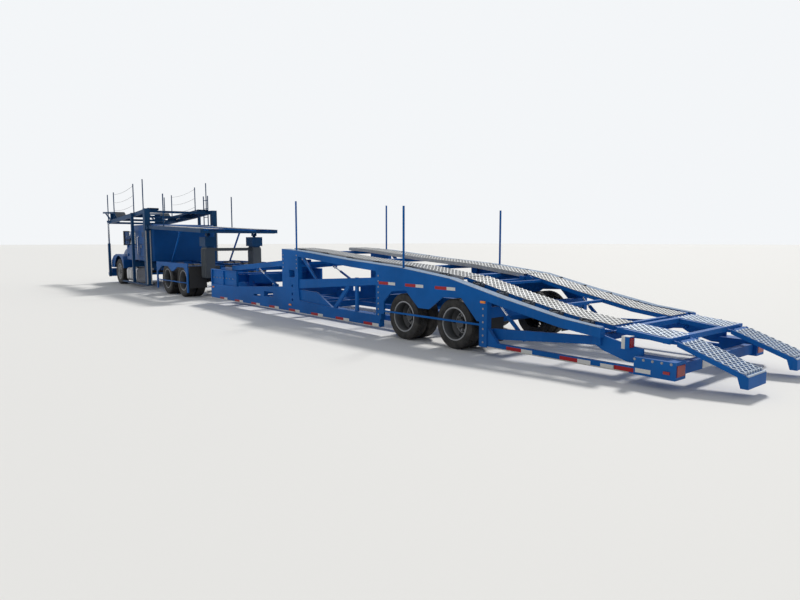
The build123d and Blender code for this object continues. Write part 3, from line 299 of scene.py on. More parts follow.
def geometry_tree(name, **inputs):
    """A geometry node tree with a mesh going in and out, and named inputs"""
    tree = bpy.data.node_groups.new(name, "GeometryNodeTree")
    tree.interface.new_socket("Geometry", in_out="OUTPUT", socket_type="NodeSocketGeometry")
    for label, kind in {"Geometry": "Geometry", **inputs, "Material": "Material"}.items():
        tree.interface.new_socket(label, in_out="INPUT", socket_type=f"NodeSocket{kind}")
    return tree, node(tree, "NodeGroupInput").outputs, node(tree, "NodeGroupOutput")


def finish_tree(tree, made, start, end):
    """Realizes what a tree has made, gives it its material and puts it out"""
    real = node(tree, "GeometryNodeRealizeInstances", {"Geometry": made})
    paint = node(tree, "GeometryNodeSetMaterial", {"Geometry": real, "Material": start["Material"]})
    feed(tree, end, {"Geometry": paint})


def grow(name, tree, points, edges=(), **values):
    """Runs a geometry tree on some points and keeps the result as a plain mesh"""
    mesh = bpy.data.meshes.new(name + "_points")
    mesh.from_pydata(points, edges, [])
    source = put(name + "_source", mesh)
    modifier = source.modifiers.new("grow", "NODES")
    modifier.node_group = tree
    for item in tree.interface.items_tree:
        if item.in_out == "INPUT" and item.name.lower() in values:
            modifier[item.identifier] = values[item.name.lower()]
    seen_by = bpy.context.evaluated_depsgraph_get()
    result = bpy.data.meshes.new_from_object(source.evaluated_get(seen_by))
    bpy.data.objects.remove(source)
    return put(name, result)


plates_tree, plates_in, plates_out = geometry_tree("plates_at_points", Size="Vector")
plate_cube = node(plates_tree, "GeometryNodeMeshCube", {"Size": plates_in["Size"]})
plate_at = node(plates_tree, "GeometryNodeInstanceOnPoints", {"Points": plates_in["Geometry"],
                                                              "Instance": plate_cube})
finish_tree(plates_tree, plate_at, plates_in, plates_out)

bolts_tree, bolts_in, bolts_out = geometry_tree("bolts_at_points", Radius="Float", Height="Float",
                                                Direction="Vector")
bolt_parts = node(bolts_tree, "GeometryNodeJoinGeometry")
for sides, share, rise in ((6, 1.0, 1.0), (14, 1.45, 0.3)):
    cylinder = node(bolts_tree, "GeometryNodeMeshCylinder", {
        "Vertices": sides, "Radius": maths(bolts_tree, "MULTIPLY", bolts_in["Radius"], share),
        "Depth": maths(bolts_tree, "MULTIPLY", bolts_in["Height"], rise * 2)})
    feed(bolts_tree, bolt_parts, {0: cylinder})
bolt_turn = node(bolts_tree, "FunctionNodeAlignRotationToVector", {"Vector": bolts_in["Direction"]},
                 axis="Z")
bolt_at = node(bolts_tree, "GeometryNodeInstanceOnPoints", {
    "Points": bolts_in["Geometry"], "Instance": bolt_parts, "Rotation": bolt_turn})
finish_tree(bolts_tree, bolt_at, bolts_in, bolts_out)

piping_tree, piping_in, piping_out = geometry_tree("piping", Radius="Float", Sides="Int")
piping_curve = node(piping_tree, "GeometryNodeMeshToCurve", {"Mesh": piping_in["Geometry"]})
piping_ring = node(piping_tree, "GeometryNodeCurvePrimitiveCircle", {
    "Radius": piping_in["Radius"], "Resolution": piping_in["Sides"]})
piping_sweep = node(piping_tree, "GeometryNodeCurveToMesh", {
    "Curve": piping_curve, "Profile Curve": piping_ring, "Fill Caps": True})
piping_smooth = node(piping_tree, "GeometryNodeSetShadeSmooth", {"Geometry": piping_sweep})
finish_tree(piping_tree, piping_smooth, piping_in, piping_out)


def plates(name, material, body, slot_name, *groups, sides=both):
    """Some small plates, each a size and the places it is repeated at, as one mesh"""
    form = bmesh.new()
    for size, *places in groups:
        made = grow(name, plates_tree, on_sides(places, sides), size=size, material=material)
        form.from_mesh(made.data)
        bpy.data.objects.remove(made)
    fixed(put(name, mesh_from(name, form), material), body)


def bolts(name, spots, radius, height, direction, material, body):
    """A six-sided head on a round washer at each place, turned to a direction"""
    made = grow(name, bolts_tree, spots, radius=radius, height=height, direction=direction, material=material)
    fixed(made, body)


def piping(name, runs, radius, material, body, closed=False, sides=8):
    """Round bar, hose or beading along some runs of points"""
    points, edges = [], []
    for run_points in runs:
        first = len(points)
        points += run_points
        edges += [(first + step, first + step + 1) for step in range(len(run_points) - 1)]
        if closed:
            edges.append((len(points) - 1, first))
    made = grow(name, piping_tree, points, edges, radius=radius, sides=sides, material=material)
    fixed(made, body)


grain, grain_in, grain_out = finish_group("zinc_grain", metal=(0.5, 0.52, 0.54), dirt=road_dust,
                                          grime=0.4, flake=30.0, gloss=0.4)
metal_place = object_place(grain)
flakes = node(grain, "ShaderNodeTexVoronoi", {"Vector": metal_place, "Scale": grain_in["Flake"]})
flake_shade = remap(grain, flakes.outputs["Distance"], 0.0, 0.8, 0.84, 1.14)
stain = remap(grain, noise(grain, metal_place, 3.4, 7.0, 0.66), 0.42, 0.74)
stained = maths(grain, "MULTIPLY", stain, grain_in["Grime"])
shaded = scaled(grain, grain_in["Metal"], flake_shade)
feed(grain, grain_out, {"Color": mixed(grain, stained, shaded, grain_in["Dirt"]),
                        "Roughness": maths(grain, "MULTIPLY_ADD", stained, 0.4, grain_in["Gloss"]),
                        "Height": noise(grain, metal_place, 140.0, 3.0)})


def tape_finish(name, colour):
    """Reflective film: a fine hexagon grain under a clear gloss"""
    material, tree, shader = new_material(name)
    cells = node(tree, "ShaderNodeTexVoronoi", {"Vector": object_place(tree), "Scale": 260.0})
    pale = tuple(min(1.0, part * 1.25 + 0.02) for part in colour)
    feed(tree, shader, {"Base Color": mixed(tree, cells.outputs["Distance"], colour, pale),
                        "Roughness": 0.35, "Specular IOR Level": 0.2})
    return material


def rubber_like(name, colour, gloss):
    """Moulded rubber or plastic, faintly mottled"""
    material, tree, shader = new_material(name)
    pale = tuple(part * 1.6 + 0.01 for part in colour)
    mottled = mixed(tree, noise(tree, object_place(tree), 12.0, 6.0, 0.6), colour, pale)
    feed(tree, shader, {"Base Color": mottled, "Roughness": gloss})
    return material


bolt_steel = worn_finish("bolt_steel", grain, metal=(0.30, 0.31, 0.33), grime=0.5, metallic=0.8)
red_film = tape_finish("red_film", (0.36, 0.008, 0.014))
white_film = tape_finish("white_film", (0.62, 0.62, 0.60))
for film, material, length, start, slot_name in (("red", red_film, tape_red, tape_white, "lamp_red"),
                                                 ("white", white_film, tape_white, 0.0, "galvanised")):
    film_places = [(rear + start + length / 2, face, height)
                   for pairs, face, height in ((low_pairs, side_face, 0.185), (high_pairs, side_face, 0.955),
                                               (tail_pairs, tail_face, 0.170)) for rear in pairs]
    film_places += [(rear + length / 2, face, height) for rear, face, height in last_pieces[film]]
    tapes = grow(f"side_tapes_{film}", plates_tree, on_sides(film_places),
                 size=(length, 2 * tape_proud, tape_height), material=material)
    fixed(tapes, "trailer")

for side_name, side in side_names:
    spots = [placed(station + along * step, side * side_face, height + up * step)
             for station, height, along, up, count in bolt_rows for step in range(count)]
    bolts(f"frame_bolts_{side_name}", spots, 0.011, 0.009, (0, side, 0), bolt_steel, "trailer")

worn_flange = worn_finish("worn_flange", wear, paint=(0.085, 0.185, 0.345), undercoat=(0.21, 0.265, 0.335),
                          dust=(0.40, 0.43, 0.47), chipping=1.2, gloss=0.55, shine=0.25)
flanges = bmesh.new()
for side in both:
    rings = []
    for station, height, inner in flange_line:
        corners = ((inner, flange_bottom), (flange_outer, flange_bottom), (flange_outer, flange_top),
                   (inner, flange_top))
        rings.append([flanges.verts.new(placed(station, side * width, height + up)) for width, up in corners])
    for ring, after in zip(rings, rings[1:]):
        for step in range(4):
            flanges.faces.new((ring[step], ring[(step + 1) % 4], after[(step + 1) % 4], after[step]))
    flanges.faces.new(rings[0])
    flanges.faces.new(rings[-1])
bmesh.ops.recalc_face_normals(flanges, faces=flanges.faces)
fixed(put("frame_flanges", mesh_from("frame_flanges", flanges), worn_flange), "trailer")

black_rubber = rubber_like("black_rubber", (0.014, 0.014, 0.015), 0.75)
amber_lens = rubber_like("amber_lens", (0.72, 0.20, 0.01), 0.15)
white_paint = worn_finish("white_paint", wear, paint=(0.62, 0.63, 0.62), chipping=0.5, dust_height=0.9)
plates("lamp_brackets", white_paint, "trailer", "galvanised",
       ((0.045, 0.006, 0.15), (-2.905, 1.292, 0.49)),
       ((0.10, 0.115, 0.006), (-2.93, 1.232, 0.563)))
plates("side_markers", amber_lens, "trailer", "lamp_red",
       ((0.09, 0.022, 0.035), (9.25, 1.302, 0.45), (5.05, 1.302, 0.30), (-0.655, 1.302, 0.80)))
red_lens = rubber_like("red_marker", (0.30, 0.006, 0.008), 0.25)
plates("rear_markers", red_lens, "trailer", "lamp_red",
       ((0.075, 0.016, 0.032), (-3.45, 1.300, 0.210)))
# pale rubbed metal, made bright enough to be a painted highlight of sunlit edges too
rubbed_edge_and_highlight = worn_finish("rubbed_edge_and_highlight", grain, metal=(0.60, 0.59, 0.56), grime=0.4, gloss=0.6, shine=0.2)
plates("rail_lips", rubbed_edge_and_highlight, "trailer", "galvanised",
       ((7.56, 0.008, 0.014), (5.62, 1.297, 0.153)),
       ((2.25, 0.008, 0.014), (-1.855, 1.277, 0.138)))
plates("mud_flaps", black_rubber, "trailer", "trim_dark",
       ((0.008, 0.43, 0.42), (-0.594, 0.975, 0.37)))
plates("blank_plate", white_film, "trailer", "galvanised",
       ((0.004, 0.30, 0.12), (-3.504, 0.36, 0.225)), sides=(1,))
lever_stations = [8.10 + 0.06 * step for step in range(7)]
lever_runs = [[placed(station, side * 1.27, 0.935), placed(station, side * 1.283, 1.05)]
              for side in both for station in lever_stations]
piping("control_levers", lever_runs, 0.006, bolt_steel, "trailer")
lever_tops = [lever[1] for lever in lever_runs]
bolts("lever_knobs", lever_tops, 0.014, 0.022, (0, 0.1, 1), black_rubber, "trailer")

# Runways: zinc-coated steel sheet folded down at its edges and punched all over, so that tyres
# grip and mud falls through. Each sheet follows the slope of its deck and is welded to the beams.
sheet_pitch = 0.083
sheet_thickness = 0.006
sheet_rise = 0.003
hole_reach = 0.37
strand_lift = 0.9
runway_widths = (0.50, 1.00)
chord_line = ((0.06, 1.13), (1.28, 1.26), (2.76, 1.35), (4.61, 1.50), (5.35, 1.537))
fixed_line = ((0.04, 1.126),) + chord_line
front_line = ((5.45, 1.2664), (7.53, 1.100), (8.86, 0.9867))
rear_line = ((-2.60, 0.635), (-2.00, 0.705), (-1.00, 0.905), (-0.04, 1.125))
zinc = worn_finish("zinc_sheet", grain, metal=(0.42, 0.44, 0.46), grime=0.45, gloss=0.45, metallic=0.2)
# painted shade: a near-black finish for the solid faces under the punched sheets, standing in for the shade
# seen through their holes
painted_shade_sheet = worn_finish("painted_shade_sheet", grain, metal=(0.035, 0.038, 0.042), grime=0.25, gloss=0.7)


def punched_tile():
    """One square of the sheet, a unit wide: sloping strands round one diamond hole and four quarter ones"""
    form = bmesh.new()
    edge = 0.5 - hole_reach
    for right, far in ((1, 1), (-1, 1), (-1, -1), (1, -1)):
        corners = [(hole_reach, 0), (0.5, 0), (0.5, edge), (edge, 0.5), (0, 0.5), (0, hole_reach)]
        if right * far < 0:
            corners.reverse()
        upper, lower = [[form.verts.new((x * right, y * far, level + strand_lift * (1 - x - y)))
                         for x, y in corners] for level in (0.5, -0.5)]
        form.faces.new(upper)
        form.faces.new(list(reversed(lower)))
        for first in (2, 5):
            second = (first + 1) % 6
            if right * far < 0:
                first, second = 5 - second, 5 - first
            form.faces.new((upper[second], upper[first], lower[first], lower[second]))
    bmesh.ops.remove_doubles(form, verts=form.verts, dist=0.001)
    return bpy.data.objects.new("punched_tile", mesh_from("punched_tile", form))


tile = punched_tile()
sheet_tree, sheet_in, sheet_out = geometry_tree("punched_sheet", Width="Float", Pitch="Float",
                                                Thickness="Float", Tile="Object")
sheet_width, tile_pitch = sheet_in["Width"], sheet_in["Pitch"]
path_curve = node(sheet_tree, "GeometryNodeMeshToCurve", {"Mesh": sheet_in["Geometry"]})
run = node(sheet_tree, "GeometryNodeCurveLength", {"Curve": path_curve}).outputs["Length"]
columns = maths(sheet_tree, "ROUND", maths(sheet_tree, "DIVIDE", run, tile_pitch))
rows = maths(sheet_tree, "ROUND", maths(sheet_tree, "DIVIDE", sheet_width, tile_pitch))
step_along = maths(sheet_tree, "DIVIDE", run, columns)
step_across = maths(sheet_tree, "DIVIDE", sheet_width, rows)
grid = node(sheet_tree, "GeometryNodeMeshGrid", {
    "Size X": maths(sheet_tree, "SUBTRACT", run, step_along), "Vertices X": columns,
    "Size Y": maths(sheet_tree, "SUBTRACT", sheet_width, step_across), "Vertices Y": rows})
shift = node(sheet_tree, "ShaderNodeCombineXYZ", {"X": maths(sheet_tree, "MULTIPLY", run, 0.5)})
moved = node(sheet_tree, "GeometryNodeTransform", {"Geometry": grid, "Translation": shift})
tile_size = node(sheet_tree, "ShaderNodeCombineXYZ", {"X": step_along, "Y": step_across,
                                                      "Z": sheet_in["Thickness"]})
tile_info = node(sheet_tree, "GeometryNodeObjectInfo", {"Object": sheet_in["Tile"]})
tiles_at = node(sheet_tree, "GeometryNodeInstanceOnPoints", {
    "Points": moved, "Instance": tile_info.outputs["Geometry"], "Scale": tile_size})
laid = node(sheet_tree, "GeometryNodeRealizeInstances", {"Geometry": tiles_at})
welded = node(sheet_tree, "GeometryNodeMergeByDistance", {"Geometry": laid})
flat = node(sheet_tree, "ShaderNodeSeparateXYZ", {0: node(sheet_tree, "GeometryNodeInputPosition")})
on_path = node(sheet_tree, "GeometryNodeSampleCurve", {"Curves": path_curve, "Length": flat.outputs["X"]},
               mode="LENGTH")
upward = node(sheet_tree, "ShaderNodeVectorMath", {0: on_path.outputs["Tangent"], 1: (0.0, 1.0, 0.0)},
              operation="CROSS_PRODUCT")
sideways = node(sheet_tree, "ShaderNodeCombineXYZ", {"Y": flat.outputs["Y"]})
off_path = node(sheet_tree, "ShaderNodeVectorMath", {0: scaled(sheet_tree, upward, flat.outputs["Z"]),
                                                     1: sideways}, operation="ADD")
sheet_place = node(sheet_tree, "ShaderNodeVectorMath", {0: on_path.outputs["Position"], 1: off_path},
                   operation="ADD")
bent = node(sheet_tree, "GeometryNodeSetPosition", {"Geometry": welded, "Position": sheet_place})
finish_tree(sheet_tree, bent, sheet_in, sheet_out)


def punched_sheet(name, line, middle, width, body, material, pitch):
    """One punched sheet on a line of stations and heights, with the cut ends of its strands closed"""
    points = [placed(station, middle, height + sheet_rise) for station, height in sorted(line)]
    edges = [(step, step + 1) for step in range(len(points) - 1)]
    sheet = grow(name, sheet_tree, points, edges, width=width, pitch=pitch, thickness=sheet_thickness,
                 tile=tile, material=material)
    form = bmesh.new()
    form.from_mesh(sheet.data)
    bmesh.ops.holes_fill(form, edges=[edge for edge in form.edges if edge.is_boundary], sides=0)
    form.to_mesh(sheet.data)
    form.free()
    fixed(sheet, body)


def punched_runway(name, line, widths, body, material, pitch):
    """The two punched sheets of one deck, between an inner and an outer width"""
    inner, outer = widths
    for side_name, side in side_names:
        punched_sheet(f"{name}_{side_name}", line, side * ((inner + outer) / 2), outer - inner, body,
                      material, pitch)


def height_on(line, station):
    """The height of a line of stations and heights at one station"""
    points = sorted(line)
    for (s0, z0), (s1, z1) in zip(points, points[1:]):
        if s0 <= station <= s1:
            return z0 + (z1 - z0) * (station - s0) / (s1 - s0)
    return points[0][1] if station < points[0][0] else points[-1][1]


def dressed_runway(node_name, name, finish, line, widths, body, material, pitch=sheet_pitch):
    """A CAD node's finish, a dark one painted as shade on its faces that lie under punched sheets, and the
    sheets
    """
    coat_nodes(finish, node_name)
    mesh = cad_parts[node_name].data
    # the faces that lie under the sheets take the painted shade
    mesh.materials.append(painted_shade_sheet)
    for face in mesh.polygons:
        below = height_on(line, face.center.x + origin_station) - face.center.z
        if face.normal.z > 0.5 and widths[0] < abs(face.center.y) < widths[1] and -0.01 < below < 0.01:
            face.material_index = 1
    punched_runway(name, line, widths, body, material, pitch)


for node_name, line, body, finish in (("trailer_runways", fixed_line, "trailer", zinc),
                                      ("front_deck", front_line, "front_deck", blue),
                                      ("rear_deck", rear_line, "rear_deck", blue)):
    dressed_runway(node_name, node_name + "_sheet", finish, line, runway_widths, body, zinc)

# Ratchets: each tie-down has a toothed wheel and a slotted drum in a folded bracket, bolted to the
# edge of a runway. The lashing bar goes in the drum's holes, and rust shows where chains rub.
ratchet_width = 1.034
ratchet_drop = 0.036
upper_line = ((10.25, 2.045), (14.70, 2.2202))
ratchet_rows = (("trailer", fixed_line, (0.45, 1.35, 2.25, 3.15, 4.05, 4.95)),
                ("rear_deck", rear_line, (-0.30, -0.78, -1.26, -1.74, -2.22)),
                ("front_deck", front_line, (5.80, 6.60, 7.50, 8.40)),
                ("upper_deck", upper_line, (10.7, 11.9, 13.0, 14.1)))
rusty_steel = worn_finish("rusty_steel", wear, paint=(0.07, 0.09, 0.12), undercoat=(0.14, 0.07, 0.04),
                          chipping=1.1, dust_height=1.4, gloss=0.55, metallic=0.3)


def ratchet_mesh():
    """One ratchet about the origin, its drum along the runway"""
    form = bmesh.new()
    cheek = (0.008, 0.055, 0.085)
    for (long, wide, tall), ahead, across in ((cheek, -0.075, 0.0), (cheek, 0.075, 0.0),
                                              ((0.16, 0.008, 0.085), 0.0, -0.024)):
        for vert in bmesh.ops.create_cube(form, size=1.0)["verts"]:
            vert.co = Vector((vert.co.x * long + ahead, vert.co.y * wide + across, vert.co.z * tall))
    for radius, length, ahead, sides in ((0.019, 0.21, 0.0, 14), (0.036, 0.010, 0.055, 16),
                                         (0.028, 0.030, -0.105, 12)):
        made = bmesh.ops.create_cone(form, cap_ends=True, segments=sides, radius1=radius, radius2=radius,
                                     depth=length)["verts"]
        for vert in made:
            vert.co = Vector((vert.co.z + ahead, vert.co.x, vert.co.y))
    return mesh_from("ratchet", form)


def joined(name, parts, material):
    """Copies of some meshes, each moved, and turned end for end on the right side, as one mesh"""
    form = bmesh.new()
    for source, offset, side in parts:
        first = len(form.verts)
        form.from_mesh(source)
        form.verts.ensure_lookup_table()
        for vert in form.verts[first:]:
            x, y, z = vert.co
            vert.co = Vector((x * side + offset[0], y * side + offset[1], z + offset[2]))
    return put(name, mesh_from(name, form), material)


one_ratchet = ratchet_mesh()
for body, line, stations in ratchet_rows:
    places = [(station, height_on(line, station) - ratchet_drop) for station in stations]
    parts = [(one_ratchet, placed(station, side * ratchet_width, height), side)
             for side in both for station, height in places]
    fixed(joined(f"{body}_ratchets", parts, rusty_steel), body)

# Tail deck and ramps: blue frames with a raised diamond mesh welded on top, worn bright where
# cars drive over it. The ramps fold at their hinge pins.
coat_nodes(blue, "tail_deck", "ramp_left", "ramp_right")
bright_mesh = worn_finish("worn_mesh", grain, metal=(0.40, 0.48, 0.58), grime=0.35, metallic=0.25)
ramp_pitch = 0.095
ramp_middle, ramp_mesh_width = 0.75, 0.49
tail_line = ((-3.34, 0.556), (-2.68, 0.624))
ramp_line = ((-4.15, 0.265), (-3.46, 0.5185))
punched_runway("tail_mesh", tail_line, (0.505, 0.995), "tail_deck", bright_mesh, ramp_pitch)
for side_name, side in side_names:
    ramp = f"ramp_{side_name}"
    punched_sheet(f"ramp_mesh_{side_name}", ramp_line, side * ramp_middle, ramp_mesh_width, ramp, bright_mesh,
                  ramp_pitch)
    teeth = [(-4.155, 0.535 + 0.0717 * step, 0.272) for step in range(7)]
    plates(f"ramp_teeth_{side_name}", bright_mesh, ramp, "galvanised", ((0.016, 0.030, 0.030), *teeth),
           sides=(side,))
    end_bar = [placed(-4.183, side * width, 0.247) for width in (0.502, 0.998)]
    piping(f"ramp_end_bar_{side_name}", [end_bar], 0.014, bright_mesh, ramp, sides=12)

# Deck cylinders: blue barrels with hard-chromed rods sliding in them, one on each side under the
# front deck and the rear deck, pinned to the frame below and to the deck above.
rod_chrome = worn_finish("rod_chrome", grain, metal=(0.72, 0.73, 0.75), grime=0.15, gloss=0.12, metallic=1.0)
coat_nodes(rod_chrome, "front_deck_rods", "rear_deck_rods")
coat_nodes(blue, "front_deck_barrels", "rear_deck_barrels")

# Tyres: radial truck tyres, in twins but for the steered ones, with five rows of worn blocks,
# bulged side walls with fine ribs, and grey dust on them. They are moulded rubber on steel rims.
tyre_turns = 72
block_rows = 5
block_length = 0.052
tread_share = 0.80
groove = 0.012
trailer_wheel = {"radius": 0.400, "seat": 0.257, "width": 0.230, "nut_circle": 0.125}
tractor_wheel = {"radius": 0.500, "seat": 0.300, "width": 0.260, "nut_circle": 0.150}
wheel_sets = (("trailer_rear", "trailer_wheel_rear", 0.0, trailer_wheel, (1.135, 0.875)),
              ("trailer_front", "trailer_wheel_front", 1.23, trailer_wheel, (1.135, 0.875)),
              ("drive_rear", "drive_wheel_rear", 11.70, tractor_wheel, (1.120, 0.830)),
              ("drive_front", "drive_wheel_front", 13.07, tractor_wheel, (1.120, 0.830)),
              ("steer", "steer_wheel", 18.85, tractor_wheel, (1.030,)))
wall_profile = [(tread_share, 0.00), (0.86, 0.03), (0.90, 0.08), (0.955, 0.20), (0.985, 0.30), (0.972, 0.325),
                (0.99, 0.35), (1.00, 0.46), (1.00, 0.56), (0.985, 0.585), (0.995, 0.61), (0.97, 0.74),
                (0.955, 0.755), (0.955, 0.78), (0.90, 0.89), (0.84, 0.945)]
rubber, rubber_in, rubber_out = finish_group("dusty_rubber", rubber=(0.016, 0.016, 0.017), dust=road_dust,
                                             amount=0.4)
rubber_place = object_place(rubber)
rubber_cloud = remap(rubber, noise(rubber, rubber_place, 6.0, 7.0, 0.68), 0.40, 0.74)
rubber_dust = maths(rubber, "MULTIPLY", rubber_cloud, rubber_in["Amount"])
feed(rubber, rubber_out, {
    "Color": mixed(rubber, rubber_dust, rubber_in["Rubber"], rubber_in["Dust"]),
    "Roughness": remap(rubber, rubber_dust, 0.0, 0.6, 0.62, 0.95),
    "Height": noise(rubber, rubber_place, 110.0, 4.0)})
tyre_rubber = worn_finish("tyre_rubber", rubber, amount=0.20, bump=0.0008, shine=0.25)

tread_tree, tread_in, tread_out = geometry_tree("tread_blocks", Size="Vector")
block_cube = node(tread_tree, "GeometryNodeMeshCube", {"Size": tread_in["Size"]})
outward = node(tread_tree, "ShaderNodeVectorMath", {0: node(tread_tree, "GeometryNodeInputPosition"),
                                                    1: (1.0, 0.0, 1.0)}, operation="MULTIPLY")
block_turn = node(tread_tree, "FunctionNodeAlignRotationToVector", {"Vector": outward}, axis="Z")
block_at = node(tread_tree, "GeometryNodeInstanceOnPoints", {
    "Points": tread_in["Geometry"], "Instance": block_cube, "Rotation": block_turn})
finish_tree(tread_tree, block_at, tread_in, tread_out)


def circle(count, shift=0.0):
    """The cosines and sines of some angles, spread evenly round a circle"""
    angles = [2 * math.pi * (step + shift) / count for step in range(count)]
    return [(math.cos(angle), math.sin(angle)) for angle in angles]


def turned_mesh(name, profile, turns):
    """A closed profile of widths and radii turned about the Y axis"""
    form = bmesh.new()
    rings = [[form.verts.new((out * across, width, out * up)) for width, out in profile]
             for across, up in circle(turns)]
    count = len(profile)
    for ring, after in zip(rings, rings[1:] + rings[:1]):
        for corner in range(count):
            beside = (corner + 1) % count
            form.faces.new((ring[corner], ring[beside], after[beside], after[corner]))
    bmesh.ops.remove_doubles(form, verts=form.verts, dist=0.00001)
    bmesh.ops.recalc_face_normals(form, faces=form.faces)
    for face in form.faces:
        face.smooth = True
    return mesh_from(name, form)


def tyre_mesh(radius, seat, width):
    """One tyre about the origin: its carcass with side wall ribs, and its tread blocks"""
    half = width / 2
    wall = radius - seat
    rising = [(half * across, seat + wall * up) for across, up in wall_profile]
    crown = [(half * tread_share, radius - groove), (0.0, radius - groove + 0.002),
             (-half * tread_share, radius - groove)]
    falling = [(-across, out) for across, out in reversed(rising)]
    around = round(2 * math.pi * radius / block_length)
    rib = 2 * half * tread_share / block_rows
    out = radius - groove / 2 - 0.001
    spots = []
    for row in range(block_rows):
        middle = -half * tread_share + rib * (row + 0.5)
        spots += [(out * across, middle, out * up) for across, up in circle(around, 0.5 * (row % 2))]
    length = 2 * math.pi * radius / around
    blocks = grow("blocks", tread_tree, spots, size=(length * 0.86, rib * 0.84, groove), material=tyre_rubber)
    form = bmesh.new()
    form.from_mesh(turned_mesh("carcass", rising + crown + falling, tyre_turns))
    form.from_mesh(blocks.data)
    bpy.data.objects.remove(blocks)
    return mesh_from("tyre", form)


for wheel in (trailer_wheel, tractor_wheel):
    wheel["tyre"] = tyre_mesh(wheel["radius"], wheel["seat"], wheel["width"])
for set_name, body, station, wheel, middles in wheel_sets:
    twin = "s" if len(middles) > 1 else ""
    for side_name, side in side_names:
        parts = [(wheel["tyre"], placed(station, side * middle, wheel["radius"]), side) for middle in middles]
        tyres = joined(f"{set_name}_{side_name}_tread{twin}", parts, tyre_rubber)
        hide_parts(f"{set_name}_{side_name}_tyre{twin}")
        fixed(tyres, f"{body}_{side_name}")

# Rims and hubs: pressed steel wheels sprayed silver, clamped by ten nuts round an oil-filled
# hub with a pressed cap. A rolled edge stands round each rim.
dish_share = 0.64
nut_count = 10
# each hub: the widths of its mounting face and of its cap's seat, and the radius of its cap
hub_places = {"trailer": (1.005, 1.100, 0.076), "drive": (0.975, 1.070, 0.080),
              "steer": (1.100, 1.130, 0.070)}
rim_silver = worn_finish("rim_silver", wear, paint=(0.24, 0.25, 0.265), undercoat=(0.09, 0.06, 0.045),
                         chipping=0.55, dust_height=1.6, gloss=0.38, metallic=0.3)
edge_silver = worn_finish("edge_silver", grain, metal=(0.34, 0.35, 0.37), grime=0.5, metallic=0.3)
hub_iron = worn_finish("hub_iron", grain, metal=(0.075, 0.08, 0.088), grime=0.35, gloss=0.5, metallic=0.2)
# The rims' silver gets darker towards the middle of the vehicle, down in the dish: painted shade in the deep
# dish.
rim_tree = rim_silver.node_tree
rim_shader = rim_tree.nodes["Principled BSDF"]
rim_colour = rim_shader.inputs["Base Color"].links[0].from_socket
rim_spot = node(rim_tree, "ShaderNodeSeparateXYZ", {0: object_place(rim_tree)})
# painted shade: darkest where the dish is deepest
rim_painted_shade = remap(rim_tree, maths(rim_tree, "ABSOLUTE", rim_spot.outputs["Y"]), 1.03, 1.22, 0.14, 1.0)
feed(rim_tree, rim_shader, {"Base Color": scaled(rim_tree, rim_colour, rim_painted_shade)})


def rolled_edge(seat):
    """The bead that stands round a rim's outer edge"""
    ring = [(0.007 * across, seat + 0.002 + 0.009 * up) for across, up in circle(10)]
    return turned_mesh("rolled_edge", ring, 64)


def hub_cap(radius):
    """A pressed cap with a raised rim and a domed face"""
    profile = [(-0.004, 0.0005), (-0.004, radius), (0.012, radius), (0.016, radius - 0.006),
               (0.016, radius - 0.014), (0.010, radius - 0.020), (0.020, radius * 0.45), (0.023, 0.0005)]
    return turned_mesh("hub_cap", profile, 32)


for set_name, body, station, wheel, middles in wheel_sets:
    mount, cap_face, cap_radius = hub_places[set_name.split("_")[0]]
    radius, nut_circle = wheel["radius"], wheel["nut_circle"]
    rim_edge = middles[0] + wheel["width"] * 0.45
    edge_mesh, dish_mesh = rolled_edge(wheel["seat"]), rolled_edge(wheel["seat"] * dish_share)
    cap_mesh = hub_cap(cap_radius)
    for side_name, side in side_names:
        coat_nodes(rim_silver, f"{set_name}_{side_name}_rim{'s' if len(middles) > 1 else ''}")
        wheel_body = f"{body}_{side_name}"
        trim = joined(f"{set_name}_{side_name}_trim",
                      [(edge_mesh, placed(station, side * (rim_edge - 0.004), radius), side),
                       (dish_mesh, placed(station, side * (mount + 0.010), radius), side)], edge_silver)
        cap = joined(f"{set_name}_{side_name}_cap",
                     [(cap_mesh, placed(station, side * cap_face, radius), side)], hub_iron)
        fixed(trim, wheel_body)
        fixed(cap, wheel_body)
        nut_points = [(station - origin_station + nut_circle * across, side * (mount + 0.008),
                       radius + nut_circle * up) for across, up in circle(nut_count)]
        bolts(f"{set_name}_{side_name}_nuts", nut_points, 0.018, 0.026, (0, side, 0), bolt_steel, wheel_body)

# Tail lamps: red lenses moulded with fine flutes, on the ends of the rails, in the boxes above
# them and in the middle of the rear beam.
lamp_red, lamp_tree, lamp_shader = new_material("red_lens")
lamp_waves = node(lamp_tree, "ShaderNodeTexWave", {"Vector": object_place(lamp_tree), "Scale": 60.0})
feed(lamp_tree, lamp_shader, {
    "Base Color": mixed(lamp_tree, lamp_waves.outputs["Fac"], (0.17, 0.003, 0.004), (0.36, 0.010, 0.010)),
    "Roughness": 0.2, "Specular IOR Level": 0.3})
coat_nodes(lamp_red, "tail_lamps")

# Tractor chassis: black steel rails, axles, springs and knuckles, with the engine above and
# brushed aluminium tanks hung on the rails by steel straps.
tank_middle, tank_height = 0.880, 0.440
corner_turns = [math.radians(18 * step) for step in range(6)]
chassis_black = worn_finish("chassis_black", wear, paint=(0.018, 0.018, 0.020), chipping=0.4, dust_height=1.3,
                            gloss=0.5, shine=0.2)
coat_nodes(chassis_black, "front_axle", "drive_axles", "knuckle_left", "knuckle_right", "engine_block",
           "grille")
coat_nodes(blue, "chassis_frame", "drive_fenders", "bumper")
tank_metal = worn_finish("tank_metal", grain, metal=(0.50, 0.51, 0.53), grime=0.5, flake=60.0, metallic=0.7)
coat_nodes(tank_metal, "side_tanks")


